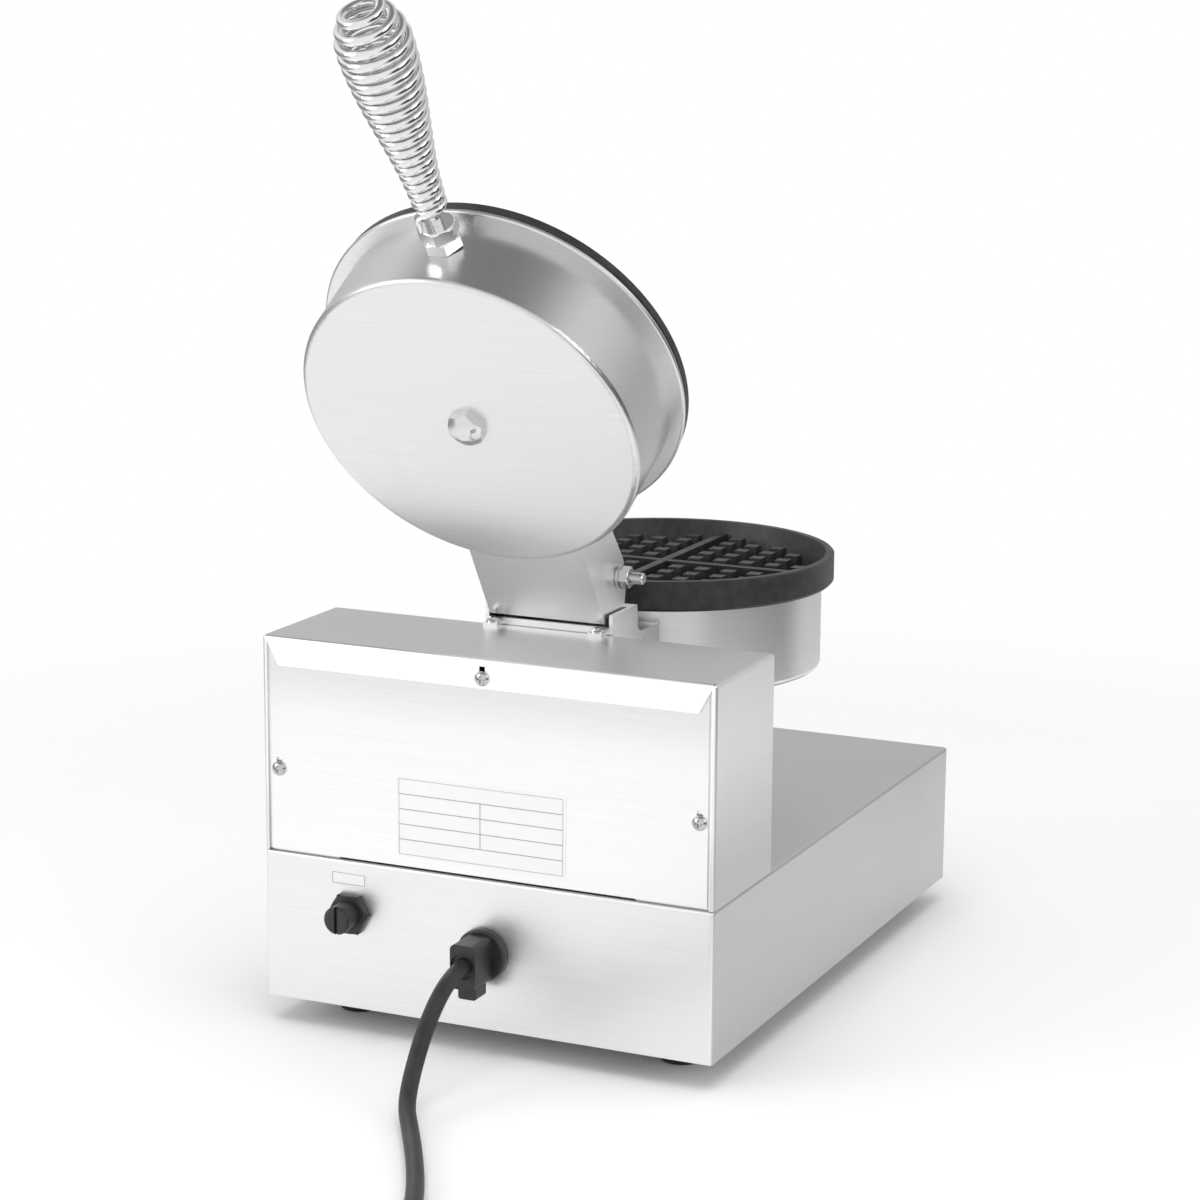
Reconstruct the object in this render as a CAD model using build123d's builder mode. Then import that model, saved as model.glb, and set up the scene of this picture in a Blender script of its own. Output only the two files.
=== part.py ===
from build123d import *
import math
import os

os.makedirs("parts", exist_ok=True)

# Base box, in millimetres
base_width = 250.0
base_length = 353.0
base_height = 78.3
foot_height = 14.0
sheet = 1.2
bend_radius = 2.0
lip_width = 14.0

# Rear tower
tower_depth = 75.7
tower_height = 112.9
flange_drop = 15.3
flange_end_slant = 6.7
cover_gap = 0.8
cover_screw_drop = 69.5

# Waffle plates and their drums
plate_radius = 94.0
drum_radius = 87.3
drum_wall = 1.0
drum_corner = 3.0
drum_lift = 66.0
lower_drum_height = 47.2
lower_rim_height = 16.2
lid_drum_height = 46.5
lid_rim_height = 5.9
cavity_radius = 89.5
upper_cavity_radius = 81.5
plate_floor = 4.0
plate_gap = 0.4
rib_width = 5.0
rib_height = 9.0
rim_over_ribs = 6.4
stud_pitch = 15.3
stud_start = 13.5
stud_size = 8.6
stud_draft = 4.0
parting_gap = 0.4
flange_radius = 94.6
flange_thickness = 2.6

# Hinge
hinge_reach = 132.5
hinge_rise = 11.0
hinge_setback = 15.4
open_angle = 122.1
bolt_radius = 3.0
bolt_clearance = 0.05
arm_width = 65.0
arm_sheet = 2.0
arm_depth = 15.5
hinge_edge = 8.5

# Neck between tower and lower drum
neck_width = 72.0
neck_sheet = 2.0
neck_rise = 10.3
neck_step = 14.5
neck_bottom_drop = 40.0
neck_front_gap = 1.3
neck_step_room = 15.4
neck_tab_length = 8.2
neck_back_rise = 3.5
neck_screw_spread = 29.5

# Coil handle
handle_depth = 27.0
handle_tilt = 3.0
handle_nut_across = 17.0
handle_nut_height = 6.5
handle_stud_radius = 3.0
handle_seat = 0.45
wire_diameter = 4.7
coil_turns = 19.5
coil_low_pitch = 5.25
coil_high_pitch = 6.3
coil_bend = 5.2
coil_start_angle = 82.0
coil_base_radius = 8.3
coil_fat_radius = 17.9
coil_tip_radius = 10.2
coil_fat_share = 0.82

# Controls, fittings and cord
knob_radius = 19.0
knob_height = 17.0
knob_gap = 1.0
shaft_radius = 3.0
shaft_clearance = 0.05
knob_spread = 62.0
control_height = 37.0
control_nut_across = 14.0
lamp_spread = 27.0
lamp_height = 60.0
lamp_radius = 5.0
rocker_width = 13.0
rocker_length = 20.0
rocker_tilt = 7.0
reset_x = 75.0
reset_height = 50.6
reset_across = 20.0
reset_cap_radius = 7.3
reset_cap_length = 11.3
reset_travel = 2.0
gland_x = -1.0
gland_height = 39.9
gland_radius = 13.5
gland_block_depth = 19.0
gland_flange = 5.0
cord_diameter = 8.5
foot_side_inset = 33.0
foot_end_inset = 40.0
foot_radius = 12.5

# Heights
base_top = foot_height + base_height
tower_top = base_top + tower_height
drum_bottom = base_top + drum_lift
rim_bottom = drum_bottom + lower_drum_height
rim_top = rim_bottom + lower_rim_height
hinge_z = rim_top + hinge_rise

# The open lid's directions: out of its top face, and towards its handle
swing = math.radians(open_angle)
lid_up = Vector(0, math.sin(swing), math.cos(swing))
lid_front = Vector(0, -math.cos(swing), math.sin(swing))
face_rise = parting_gap + lid_rim_height + lid_drum_height - hinge_rise

handle_lean = math.radians(handle_tilt)
handle_line = lid_front * math.cos(handle_lean) + lid_up * math.sin(handle_lean)
handle_across = handle_line.cross(Vector(1, 0, 0))
coil_foot = handle_seat + 2 * handle_nut_height
coil_length = coil_turns * (coil_low_pitch + coil_high_pitch) / 2


def coil_radius(share):
    """Wire centre's radius at a share of the coil's height: a slow swell, then a rounded tip."""
    if share < coil_fat_share:
        swell = 0.5 - 0.5 * math.cos(math.pi * share / coil_fat_share)
        outer = coil_base_radius + (coil_fat_radius - coil_base_radius) * swell
    else:
        fall = math.cos(math.pi / 2 * (share - coil_fat_share) / (1 - coil_fat_share))
        outer = coil_tip_radius + (coil_fat_radius - coil_tip_radius) * fall
    return outer - wire_diameter / 2


def coil_local(turns):
    """Point of the grip's centre line in the handle's own frame, a number of turns from its foot."""
    height = coil_low_pitch * turns + (coil_high_pitch - coil_low_pitch) * turns ** 2 / (2 * coil_turns)
    radius = coil_radius(min(max(height / coil_length, 0), 1))
    angle = math.radians(coil_start_angle) + 2 * math.pi * turns
    rise = coil_foot + wire_diameter + coil_bend
    return radius * math.cos(angle), radius * math.sin(angle), rise + height


# The origin stands under the middle of the object's length, front knobs to open handle
coil_reach = wire_diameter / 2 + max(
    handle_across.Y * across + handle_line.Y * out
    for _, across, out in (coil_local(step / 48) for step in range(int(48 * coil_turns) + 1)))
rear_reach = (base_length / 2 - tower_depth - hinge_setback + lid_front.Y * (hinge_reach + drum_radius)
              + lid_up.Y * (face_rise - handle_depth) + coil_reach)
front_reach = base_length / 2 + knob_gap + knob_height
base_y = (front_reach - rear_reach) / 2

rear_y = base_y + base_length / 2
front_y = base_y - base_length / 2
tower_front = rear_y - tower_depth
hinge_y = tower_front - hinge_setback
plate_y = hinge_y - hinge_reach

hinge_point = Vector(0, hinge_y, hinge_z)
face_centre = hinge_point + lid_front * hinge_reach + lid_up * face_rise
lid_plane = Plane(origin=face_centre, x_dir=(1, 0, 0), z_dir=lid_up)
lid_side = Plane(origin=face_centre, x_dir=-lid_front, z_dir=(1, 0, 0))


def behind(x, z, out=0.0):
    """Plane on the rear face at x and z, facing rearwards."""
    return Plane(origin=(x, rear_y + out, z), x_dir=(-1, 0, 0), z_dir=(0, 1, 0))


def ahead(x, z, out=0.0):
    """Plane on the front panel at x and z, facing forwards."""
    return Plane(origin=(x, front_y - out, z), x_dir=(1, 0, 0), z_dir=(0, -1, 0))


def axial(spot):
    """Plane that holds the axis of a spot: local x is radial, local y runs along the axis."""
    return Plane(origin=spot.origin, x_dir=spot.x_dir, z_dir=spot.y_dir * -1)


def pan_screws(spots, shank_radius, head_radius, head_height, length):
    """Cross-recessed pan-head screws, each seated on its spot with the shank behind it."""
    with BuildPart() as screws:
        for spot in spots:
            with BuildSketch(axial(spot)):
                with BuildLine():
                    Polyline((0, head_height), (head_radius * 0.35, head_height))
                    RadiusArc((head_radius * 0.35, head_height), (head_radius, head_height * 0.3),
                              head_radius)
                    Polyline((head_radius, head_height * 0.3), (head_radius, 0), (shank_radius, 0),
                             (shank_radius, -length), (0, -length), (0, head_height))
                make_face()
            revolve(axis=Axis(spot.origin, spot.z_dir))
            with BuildSketch(spot.offset(head_height)):
                Rectangle(head_radius * 1.0, head_radius * 0.28)
                Rectangle(head_radius * 0.28, head_radius * 1.0)
            extrude(amount=-head_height * 0.55, mode=Mode.SUBTRACT)
    return screws.part


def hex_nuts(spots, across, height, bore, turn=0.0):
    """Chamfered hex nuts standing on their spots."""
    with BuildPart() as nuts:
        for spot in spots:
            with BuildSketch(spot):
                RegularPolygon(across / 2, 6, major_radius=False, rotation=turn)
                Circle(bore, mode=Mode.SUBTRACT)
            extrude(amount=height)
            with BuildSketch(axial(spot)):
                with Locations((across * 0.54, height)):
                    RegularPolygon(across * 0.06, 4, rotation=0)
            revolve(axis=Axis(spot.origin, spot.z_dir), mode=Mode.SUBTRACT)
    return nuts.part


def washers(spots, outer, inner, thickness):
    """Flat washers lying on their spots."""
    with BuildPart() as rings:
        for spot in spots:
            with BuildSketch(spot):
                Circle(outer)
                Circle(inner, mode=Mode.SUBTRACT)
            extrude(amount=thickness)
    return rings.part


def folded_box(floor, height, mid_y, length):
    """Sheet box, open below, with rounded corners and top edges."""
    with BuildPart() as box:
        for inset, radius, mode in ((0, bend_radius, Mode.ADD), (sheet, bend_radius - sheet, Mode.SUBTRACT)):
            with BuildPart(mode=Mode.PRIVATE) as block:
                with BuildSketch(Plane.XY.offset(floor)):
                    with Locations((0, mid_y)):
                        Rectangle(base_width - 2 * inset, length - 2 * inset)
                extrude(amount=height - inset)
                fillet(block.edges().filter_by(Axis.Z), radius)
                fillet(block.faces().sort_by(Axis.Z)[-1].edges(), radius)
            add(block.part, mode=mode)
    return box.part


# Places that several pieces share
foot_spots = [(x, base_y + y) for x in (-(base_width / 2 - foot_side_inset), base_width / 2 - foot_side_inset)
              for y in (-(base_length / 2 - foot_end_inset), base_length / 2 - foot_end_inset)]
plate_screw_spots = [(x, base_y + y) for x in (-(base_width - lip_width) / 2, (base_width - lip_width) / 2)
                     for y in (-base_length / 3, 0, base_length / 3)]
tower_mid = rear_y - tower_depth / 2
tower_screw_spots = [(x, tower_mid + y) for x in (-base_width * 0.36, base_width * 0.36)
                     for y in (-tower_depth * 0.28, tower_depth * 0.28)]
gland_z = foot_height + gland_height
reset_z = foot_height + reset_height
panel_z = foot_height + control_height
lamp_z = foot_height + lamp_height
screw_radius = 2.0
screw_hole = 2.2
screw_head = 3.8
screw_head_height = 2.4
bush_radius = 4.8
reset_bush_radius = 6.0
wire_hole = 7.5
neck_wire_z = tower_top - 30.0

# Base shell: one folded sheet box, open below, with inward lips for the bottom plate
with BuildPart() as base_shell:
    add(folded_box(foot_height, base_height, base_y, base_length))
    with BuildSketch(Plane.XY.offset(foot_height + sheet)):
        with Locations((0, base_y)):
            Rectangle(base_width - sheet, base_length - sheet)
            Rectangle(base_width - 2 * lip_width, base_length - 2 * lip_width, mode=Mode.SUBTRACT)
        with Locations(*plate_screw_spots):
            Circle(screw_hole, mode=Mode.SUBTRACT)
    extrude(amount=sheet)
    with BuildSketch(Plane.XY.offset(base_top)):
        with Locations(*tower_screw_spots):
            Circle(screw_hole)
        with Locations((0, tower_mid)):
            RectangleRounded(base_width * 0.3, tower_depth * 0.5, 6)
    extrude(amount=-2 * sheet, mode=Mode.SUBTRACT)
    with BuildSketch(behind(0, 0)):
        with Locations((-gland_x, gland_z)):
            Circle(gland_radius * 0.7)
        with Locations((-reset_x, reset_z)):
            Circle(reset_bush_radius + 0.2)
    extrude(amount=-2 * sheet, mode=Mode.SUBTRACT)
    with BuildSketch(ahead(0, 0)):
        with Locations((-knob_spread, panel_z), (knob_spread, panel_z)):
            Circle(bush_radius + 0.2)
        with Locations((0, panel_z)):
            Rectangle(rocker_width + 4.4, rocker_length + 6.4)
        with Locations((-lamp_spread, lamp_z), (lamp_spread, lamp_z)):
            Circle(lamp_radius + 0.2)
    extrude(amount=-2 * sheet, mode=Mode.SUBTRACT)
base_shell.part.label = "base_shell"
export_step(base_shell.part, "parts/base_shell.step")

# Bottom plate: sheet with vent slots, screwed to the lips
with BuildPart() as bottom_plate:
    with BuildSketch(Plane.XY.offset(foot_height)):
        with Locations((0, base_y)):
            Rectangle(base_width - 2 * sheet - 2 * cover_gap, base_length - 2 * sheet - 2 * cover_gap)
        with Locations((0, base_y)):
            with GridLocations(base_width * 0.2, base_length * 0.04, 3, 8):
                SlotOverall(base_width * 0.15, 4, mode=Mode.SUBTRACT)
        with Locations(*foot_spots, *plate_screw_spots):
            Circle(screw_hole, mode=Mode.SUBTRACT)
    extrude(amount=sheet)
bottom_plate.part.label = "bottom_plate"
export_step(bottom_plate.part, "parts/bottom_plate.step")

# Rubber feet: tapered, with a pocket for the screw head
foot_seat = foot_height * 0.5
with BuildPart() as rubber_feet:
    with Locations(*[(x, y, 0) for x, y in foot_spots]):
        Cone(foot_radius * 0.84, foot_radius, foot_height, align=(Align.CENTER, Align.CENTER, Align.MIN))
    with BuildSketch():
        with Locations(*foot_spots):
            Circle(screw_head + 1.5)
    extrude(amount=foot_seat, mode=Mode.SUBTRACT)
    with BuildSketch():
        with Locations(*foot_spots):
            Circle(screw_hole)
    extrude(amount=foot_height, mode=Mode.SUBTRACT)
rubber_feet.part.label = "rubber_feet"
export_step(rubber_feet.part, "parts/rubber_feet.step")

down = [Plane(origin=(x, y, foot_seat), x_dir=(1, 0, 0), z_dir=(0, 0, -1)) for x, y in foot_spots]
down += [Plane(origin=(x, y, foot_height), x_dir=(1, 0, 0), z_dir=(0, 0, -1)) for x, y in plate_screw_spots]
bottom_screws = pan_screws(down, screw_radius, screw_head, screw_head_height, foot_height * 0.8)
bottom_screws.label = "bottom_screws"
export_step(bottom_screws, "parts/bottom_screws.step")

# Tower shell: folded sheet, open below and behind, its top folded down over the rear cover
flange_half = base_width / 2 - bend_radius - 0.6
cover_tuck = 0.6
cover_slit = 1.6
flange_low = tower_top - flange_drop
cover_screw_z = tower_top - cover_screw_drop
cover_screw_x = flange_half - 5.9
flange_screw_z = tower_top - 10.0
keyhole = 6.0
with BuildPart() as tower_shell:
    add(folded_box(base_top, tower_height, tower_mid, tower_depth))
    with BuildSketch(behind(0, 0)):
        with BuildLine():
            Polyline((-flange_half, base_top - 1), (flange_half, base_top - 1),
                     (flange_half, tower_top - bend_radius - 1),
                     (flange_half - flange_end_slant, flange_low),
                     (flange_end_slant - flange_half, flange_low),
                     (-flange_half, tower_top - bend_radius - 1), (-flange_half, base_top - 1))
        make_face()
        with Locations((0, flange_screw_z)):
            Circle(screw_hole)
        with Locations((0, flange_screw_z + keyhole / 2)):
            Rectangle(screw_hole * 1.4, keyhole)
    extrude(amount=-2 * sheet, mode=Mode.SUBTRACT)
    with BuildSketch(behind(0, 0, -2 * sheet)):
        for side in (-1, 1):
            with Locations((side * (base_width - sheet - lip_width) / 2, base_top + tower_height / 2)):
                Rectangle(lip_width, tower_height - 2 * sheet)
            with Locations((side * cover_screw_x, cover_screw_z)):
                Circle(screw_hole, mode=Mode.SUBTRACT)
    extrude(amount=-sheet)
    with BuildSketch(Plane.XY.offset(base_top)):
        with Locations((0, tower_mid)):
            Rectangle(base_width - sheet, tower_depth - 4 * sheet)
            Rectangle(base_width * 0.66, tower_depth - 4 * sheet, mode=Mode.SUBTRACT)
        with Locations(*tower_screw_spots):
            Circle(screw_hole, mode=Mode.SUBTRACT)
    extrude(amount=sheet)
    with BuildSketch(Plane(origin=(0, tower_front, 0), x_dir=(1, 0, 0), z_dir=(0, -1, 0))):
        with Locations((0, neck_wire_z)):
            Circle(wire_hole)
        with Locations((-neck_width * 0.35, neck_wire_z + 12), (neck_width * 0.35, neck_wire_z + 12)):
            Circle(screw_hole)
    extrude(amount=-2 * sheet, mode=Mode.SUBTRACT)
    with BuildSketch(Plane.XY.offset(tower_top)):
        with Locations((-neck_screw_spread, tower_front + neck_tab_length / 2),
                       (neck_screw_spread, tower_front + neck_tab_length / 2)):
            Circle(screw_hole)
    extrude(amount=-2 * sheet, mode=Mode.SUBTRACT)
tower_shell.part.label = "tower_shell"
export_step(tower_shell.part, "parts/tower_shell.step")

# Rear cover: flat sheet behind the top flange, hung on three keyhole slots. It is tucked
# under the tower's edge on one side and leaves a slit on the other
with BuildPart() as rear_cover:
    with BuildSketch(behind(0, 0, -sheet)):
        with Locations((-(cover_tuck + cover_slit) / 2, (base_top + tower_top) / 2 - sheet / 2)):
            Rectangle(2 * flange_half + cover_tuck - cover_slit, tower_height - sheet - 2 * cover_gap)
        for side in (-1, 1):
            with Locations((side * cover_screw_x, cover_screw_z)):
                Circle(screw_hole, mode=Mode.SUBTRACT)
            with Locations((side * cover_screw_x, cover_screw_z + keyhole / 2)):
                Rectangle(screw_hole * 1.4, keyhole, mode=Mode.SUBTRACT)
        with Locations((0, flange_screw_z)):
            Circle(screw_hole, mode=Mode.SUBTRACT)
        with Locations((0, flange_screw_z + keyhole / 2)):
            Rectangle(screw_hole * 1.4, keyhole, mode=Mode.SUBTRACT)
    extrude(amount=-sheet)
rear_cover.part.label = "rear_cover"
export_step(rear_cover.part, "parts/rear_cover.step")

cover_screws = pan_screws([behind(0, flange_screw_z), behind(-cover_screw_x, cover_screw_z, -sheet),
                           behind(cover_screw_x, cover_screw_z, -sheet)],
                          screw_radius, screw_head, screw_head_height, 8)
cover_screws.label = "rear_cover_screws"
export_step(cover_screws, "parts/rear_cover_screws.step")

# Neck: folded channel between tower and lower drum; its high part takes the hinge and stops the open lid
neck_top = tower_top + neck_rise
neck_low = neck_top - neck_step
neck_bottom = tower_top - neck_bottom_drop
neck_front = plate_y + drum_radius + neck_front_gap
neck_step_y = hinge_y - neck_step_room
neck_inner = neck_width / 2 - neck_sheet
stop_y = hinge_y - 7.2
saddle_half = 20.0
saddle_screw_spots = [(x, z) for x in (-13.0, 13.0) for z in (neck_bottom + 6, neck_low - 7)]
with BuildPart() as neck:
    with BuildSketch(Plane.YZ.offset(-neck_width / 2)):
        with BuildLine():
            Polyline((neck_front, neck_bottom), (neck_front, neck_low - 1), (neck_step_y - 4, neck_low),
                     (neck_step_y - 1, neck_low + 2.5), (neck_step_y, neck_top), (tower_front, neck_top),
                     (tower_front, neck_bottom), (neck_front, neck_bottom))
        make_face()
    extrude(amount=neck_width)
    with BuildSketch(Plane.YZ.offset(-neck_inner)):
        with BuildLine():
            Polyline((neck_front + neck_sheet, neck_bottom + neck_sheet),
                     (neck_front + neck_sheet, neck_low - 1 - neck_sheet),
                     (neck_step_y - 4, neck_low - neck_sheet), (neck_step_y - 1 + neck_sheet, neck_low + 1),
                     (neck_step_y + neck_sheet, neck_top - neck_sheet),
                     (tower_front - neck_sheet, neck_top - neck_sheet),
                     (tower_front - neck_sheet, neck_bottom + neck_sheet),
                     (neck_front + neck_sheet, neck_bottom + neck_sheet))
        make_face()
    extrude(amount=2 * neck_inner, mode=Mode.SUBTRACT)
    with BuildSketch(Plane.XY.offset(tower_top + neck_back_rise)):
        with Locations((0, (stop_y + tower_front) / 2)):
            Rectangle(2 * neck_inner, tower_front - stop_y)
    extrude(amount=neck_rise, mode=Mode.SUBTRACT)
    with BuildSketch(Plane.XY.offset(tower_top)):
        with Locations((-neck_screw_spread, tower_front + neck_tab_length / 2 - 0.5),
                       (neck_screw_spread, tower_front + neck_tab_length / 2 - 0.5)):
            Rectangle(2 * screw_head + 0.4, neck_tab_length + 1)
        with Locations((-neck_screw_spread, tower_front + neck_tab_length / 2),
                       (neck_screw_spread, tower_front + neck_tab_length / 2)):
            Circle(screw_hole, mode=Mode.SUBTRACT)
    extrude(amount=neck_sheet)
    with BuildSketch(Plane(origin=(0, tower_front, 0), x_dir=(1, 0, 0), z_dir=(0, -1, 0))):
        with Locations((0, neck_wire_z)):
            Circle(wire_hole)
        with Locations((-neck_width * 0.35, neck_wire_z + 12), (neck_width * 0.35, neck_wire_z + 12)):
            Circle(screw_hole)
    extrude(amount=1.5 * neck_sheet, mode=Mode.SUBTRACT)
    with BuildSketch(Plane(origin=(0, neck_front, 0), x_dir=(1, 0, 0), z_dir=(0, -1, 0))):
        with Locations((0, neck_wire_z)):
            Circle(wire_hole)
        with Locations(*saddle_screw_spots):
            Circle(screw_hole)
    extrude(amount=-1.5 * neck_sheet, mode=Mode.SUBTRACT)
neck.part.label = "neck"
export_step(neck.part, "parts/neck.step")

neck_screws = pan_screws(
    [Plane(origin=(side * neck_screw_spread, tower_front + neck_tab_length / 2, tower_top + neck_sheet))
     for side in (-1, 1)]
    + [Plane(origin=(side * neck_width * 0.35, tower_front + sheet, neck_wire_z + 12), x_dir=(-1, 0, 0),
             z_dir=(0, 1, 0)) for side in (-1, 1)], screw_radius, screw_head, screw_head_height, 7)
neck_screws.label = "neck_screws"
export_step(neck_screws, "parts/neck_screws.step")

# Saddle: spacer with a flat back against the neck and a hollow front round the drum
with BuildPart() as drum_saddle:
    with BuildSketch(Plane.XY.offset(neck_bottom)):
        with Locations((0, neck_front - 6)):
            Rectangle(2 * saddle_half, 12)
        with Locations((0, plate_y)):
            Circle(drum_radius, mode=Mode.SUBTRACT)
    extrude(amount=neck_low - 1 - neck_bottom)
    with BuildSketch(Plane(origin=(0, neck_front, 0), x_dir=(1, 0, 0), z_dir=(0, -1, 0))):
        with Locations((0, neck_wire_z)):
            Circle(wire_hole)
        with Locations(*saddle_screw_spots):
            Circle(screw_hole)
    extrude(amount=12, mode=Mode.SUBTRACT)
drum_saddle.part.label = "drum_saddle"
export_step(drum_saddle.part, "parts/drum_saddle.step")

# Hinge bracket: two lugs on a cross plate welded between the neck's walls
lug_outer = arm_width / 2 - arm_sheet - 0.5
lug_sheet = 3.0
lug_front = stop_y + 0.5
lug_back = hinge_y + hinge_edge
lug_floor = neck_low - 3.0
with BuildPart() as hinge_bracket:
    with BuildSketch(Plane.XY.offset(lug_floor)):
        with Locations((0, (lug_front + lug_back) / 2)):
            Rectangle(2 * neck_inner, lug_back - lug_front)
    extrude(amount=2.5)
    for side in (-1, 1):
        with BuildSketch(Plane.YZ.offset(side * lug_outer)):
            with Locations(((lug_front + lug_back) / 2, (lug_floor + hinge_z) / 2)):
                Rectangle(lug_back - lug_front, hinge_z - lug_floor)
            with Locations((hinge_y, hinge_z)):
                Circle(hinge_edge)
                Circle(bolt_radius + bolt_clearance, mode=Mode.SUBTRACT)
        extrude(amount=-side * lug_sheet)
hinge_bracket.part.label = "hinge_bracket"
export_step(hinge_bracket.part, "parts/hinge_bracket.step")

# Hinge bolt through ears and lugs, with bush, washers and nut
ear_outer = arm_width / 2
washer_thickness = 1.5
hinge_nut_height = 5.0
hinge_nut_across = 10.0
ear_gap = 0.2
washer_x = ear_outer + ear_gap
nut_x = washer_x + washer_thickness
bolt_end = nut_x + hinge_nut_height + 7.3
with BuildPart() as hinge_bolt:
    with BuildSketch(Plane.YZ.offset(-bolt_end)):
        with Locations((hinge_y, hinge_z)):
            Circle(bolt_radius)
    extrude(amount=bolt_end + nut_x)
    chamfer(hinge_bolt.faces().sort_by(Axis.X)[0].edges(), 0.6)
    with BuildSketch(Plane.YZ.offset(nut_x)):
        with Locations((hinge_y, hinge_z)):
            RegularPolygon(hinge_nut_across / 2, 6, major_radius=False)
    extrude(amount=4)
hinge_bolt.part.label = "hinge_bolt"
export_step(hinge_bolt.part, "parts/hinge_bolt.step")

bush_half = lug_outer - lug_sheet
bush_spot = Plane(origin=(-bush_half, hinge_y, hinge_z), x_dir=(0, 1, 0), z_dir=(1, 0, 0))
hinge_bush = washers([bush_spot], 5.0, bolt_radius + bolt_clearance, 2 * bush_half)
hinge_bush.label = "hinge_bush"
export_step(hinge_bush, "parts/hinge_bush.step")

left_spot = Plane(origin=(-washer_x, hinge_y, hinge_z), x_dir=(0, 1, 0), z_dir=(-1, 0, 0))
right_spot = Plane(origin=(washer_x, hinge_y, hinge_z), x_dir=(0, 1, 0), z_dir=(1, 0, 0))
with BuildPart() as hinge_nut:
    add(washers([left_spot, right_spot], 6.2, bolt_radius + bolt_clearance, washer_thickness))
    add(hex_nuts([left_spot.offset(washer_thickness)], hinge_nut_across, hinge_nut_height,
                 bolt_radius + bolt_clearance, 12))
hinge_nut.part.label = "hinge_nut"
export_step(hinge_nut.part, "parts/hinge_nut.step")


def drum(spot, depth, rolled=0.0):
    """Spun steel cup: its closed end on the spot, its wall behind it, and any rolled edge."""
    inner = drum_radius - drum_wall
    edge = flange_radius - rolled / 2
    with BuildPart() as cup:
        with BuildSketch(axial(spot)):
            with BuildLine():
                Line((3.2, 0), (drum_radius - drum_corner, 0))
                RadiusArc((drum_radius - drum_corner, 0), (drum_radius, -drum_corner), drum_corner)
                if rolled:
                    Polyline((drum_radius, -drum_corner), (drum_radius, rolled - depth),
                             (edge, rolled - depth))
                    ThreePointArc((edge, rolled - depth), (flange_radius, rolled / 2 - depth),
                                  (edge, -depth))
                    Line((edge, -depth), (inner, -depth))
                else:
                    Polyline((drum_radius, -drum_corner), (drum_radius, -depth), (inner, -depth))
                Line((inner, -depth), (inner, -drum_corner))
                RadiusArc((inner, -drum_corner), (drum_radius - drum_corner, -drum_wall),
                          -(drum_corner - drum_wall))
                Polyline((drum_radius - drum_corner, -drum_wall), (3.2, -drum_wall), (3.2, 0))
            make_face()
        revolve(axis=Axis(spot.origin, spot.z_dir))
    return cup.part


# Lower drum: hung on the neck, clear of the base
lower_end = Plane(origin=(0, plate_y, drum_bottom), x_dir=(-1, 0, 0), z_dir=(0, 0, -1))
with BuildPart() as lower_drum:
    add(drum(lower_end, lower_drum_height))
    with BuildSketch(Plane(origin=(0, neck_front, 0), x_dir=(1, 0, 0), z_dir=(0, -1, 0))):
        with Locations((0, neck_wire_z)):
            Circle(wire_hole)
        with Locations(*saddle_screw_spots):
            Circle(screw_hole)
    extrude(amount=12, mode=Mode.SUBTRACT)
lower_drum.part.label = "lower_drum"
export_step(lower_drum.part, "parts/lower_drum.step")

hidden = [Plane(origin=(x, y, base_top + sheet)) for x, y in tower_screw_spots]
for x, z in saddle_screw_spots:
    seat_y = plate_y + math.sqrt(drum_radius ** 2 - x ** 2) - drum_wall - 0.9
    hidden.append(Plane(origin=(x, seat_y, z), x_dir=(1, 0, 0), z_dir=(0, -1, 0)))
inner_screws = pan_screws(hidden, screw_radius, screw_head, screw_head_height, 8)
inner_screws.label = "inner_screws"
export_step(inner_screws, "parts/inner_screws.step")

# Waffle plates: black castings with a cross of ribs, rows of tapered studs and a rim
floor_drop = rim_over_ribs + rib_height
disc_radius = drum_radius - drum_wall - plate_gap
reach = [stud_start + step * stud_pitch for step in range(5)]
stud_spots = [(sx * x, sy * y) for x in reach for y in reach if math.hypot(x, y) < cavity_radius - 13
              for sx in (-1, 1) for sy in (-1, 1)]


def waffle_plate(rim_plane, wall_drop, rim_inner, floor_radius, spots):
    """Casting seen from its rim plane, which faces the batter; its disc fits inside the drum."""
    back = floor_drop + plate_floor
    with BuildPart() as casting:
        with BuildSketch(axial(rim_plane)):
            with BuildLine():
                Polyline((0, -back), (disc_radius, -back), (disc_radius, -wall_drop),
                         (plate_radius - 1.5, -wall_drop), (plate_radius, -wall_drop + 1.5),
                         (plate_radius, -0.8), (plate_radius - 0.8, 0), (rim_inner, 0),
                         (floor_radius, -floor_drop), (0, -floor_drop), (0, -back))
            make_face()
        revolve(axis=Axis(rim_plane.origin, rim_plane.z_dir))
        with BuildSketch(rim_plane.offset(-floor_drop)):
            with Locations(*spots):
                Rectangle(stud_size, stud_size)
        extrude(amount=rib_height, taper=stud_draft)
        with BuildSketch(rim_plane.offset(-floor_drop)):
            Rectangle(2 * floor_radius + 2, rib_width)
            Rectangle(rib_width, 2 * floor_radius + 2)
        extrude(amount=rib_height)
        with BuildSketch(rim_plane.offset(-back)):
            Circle(3.2)
        extrude(amount=plate_floor * 0.6, mode=Mode.SUBTRACT)
    return casting.part


lower_rim = Plane(origin=(0, plate_y, rim_top))
lower_plate = waffle_plate(lower_rim, lower_rim_height, cavity_radius, cavity_radius - 5, stud_spots)
lower_plate.label = "lower_plate"
export_step(lower_plate, "parts/lower_plate.step")

upper_rim = Plane(origin=face_centre - lid_up * (lid_drum_height + lid_rim_height), x_dir=(-1, 0, 0),
                  z_dir=lid_up * -1)
inner_studs = [(x, y) for x, y in stud_spots if math.hypot(x, y) < upper_cavity_radius - 11]
upper_plate = waffle_plate(upper_rim, lid_rim_height, cavity_radius, upper_cavity_radius - 3, inner_studs)
upper_plate.label = "upper_plate"
export_step(upper_plate, "parts/upper_plate.step")

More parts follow.
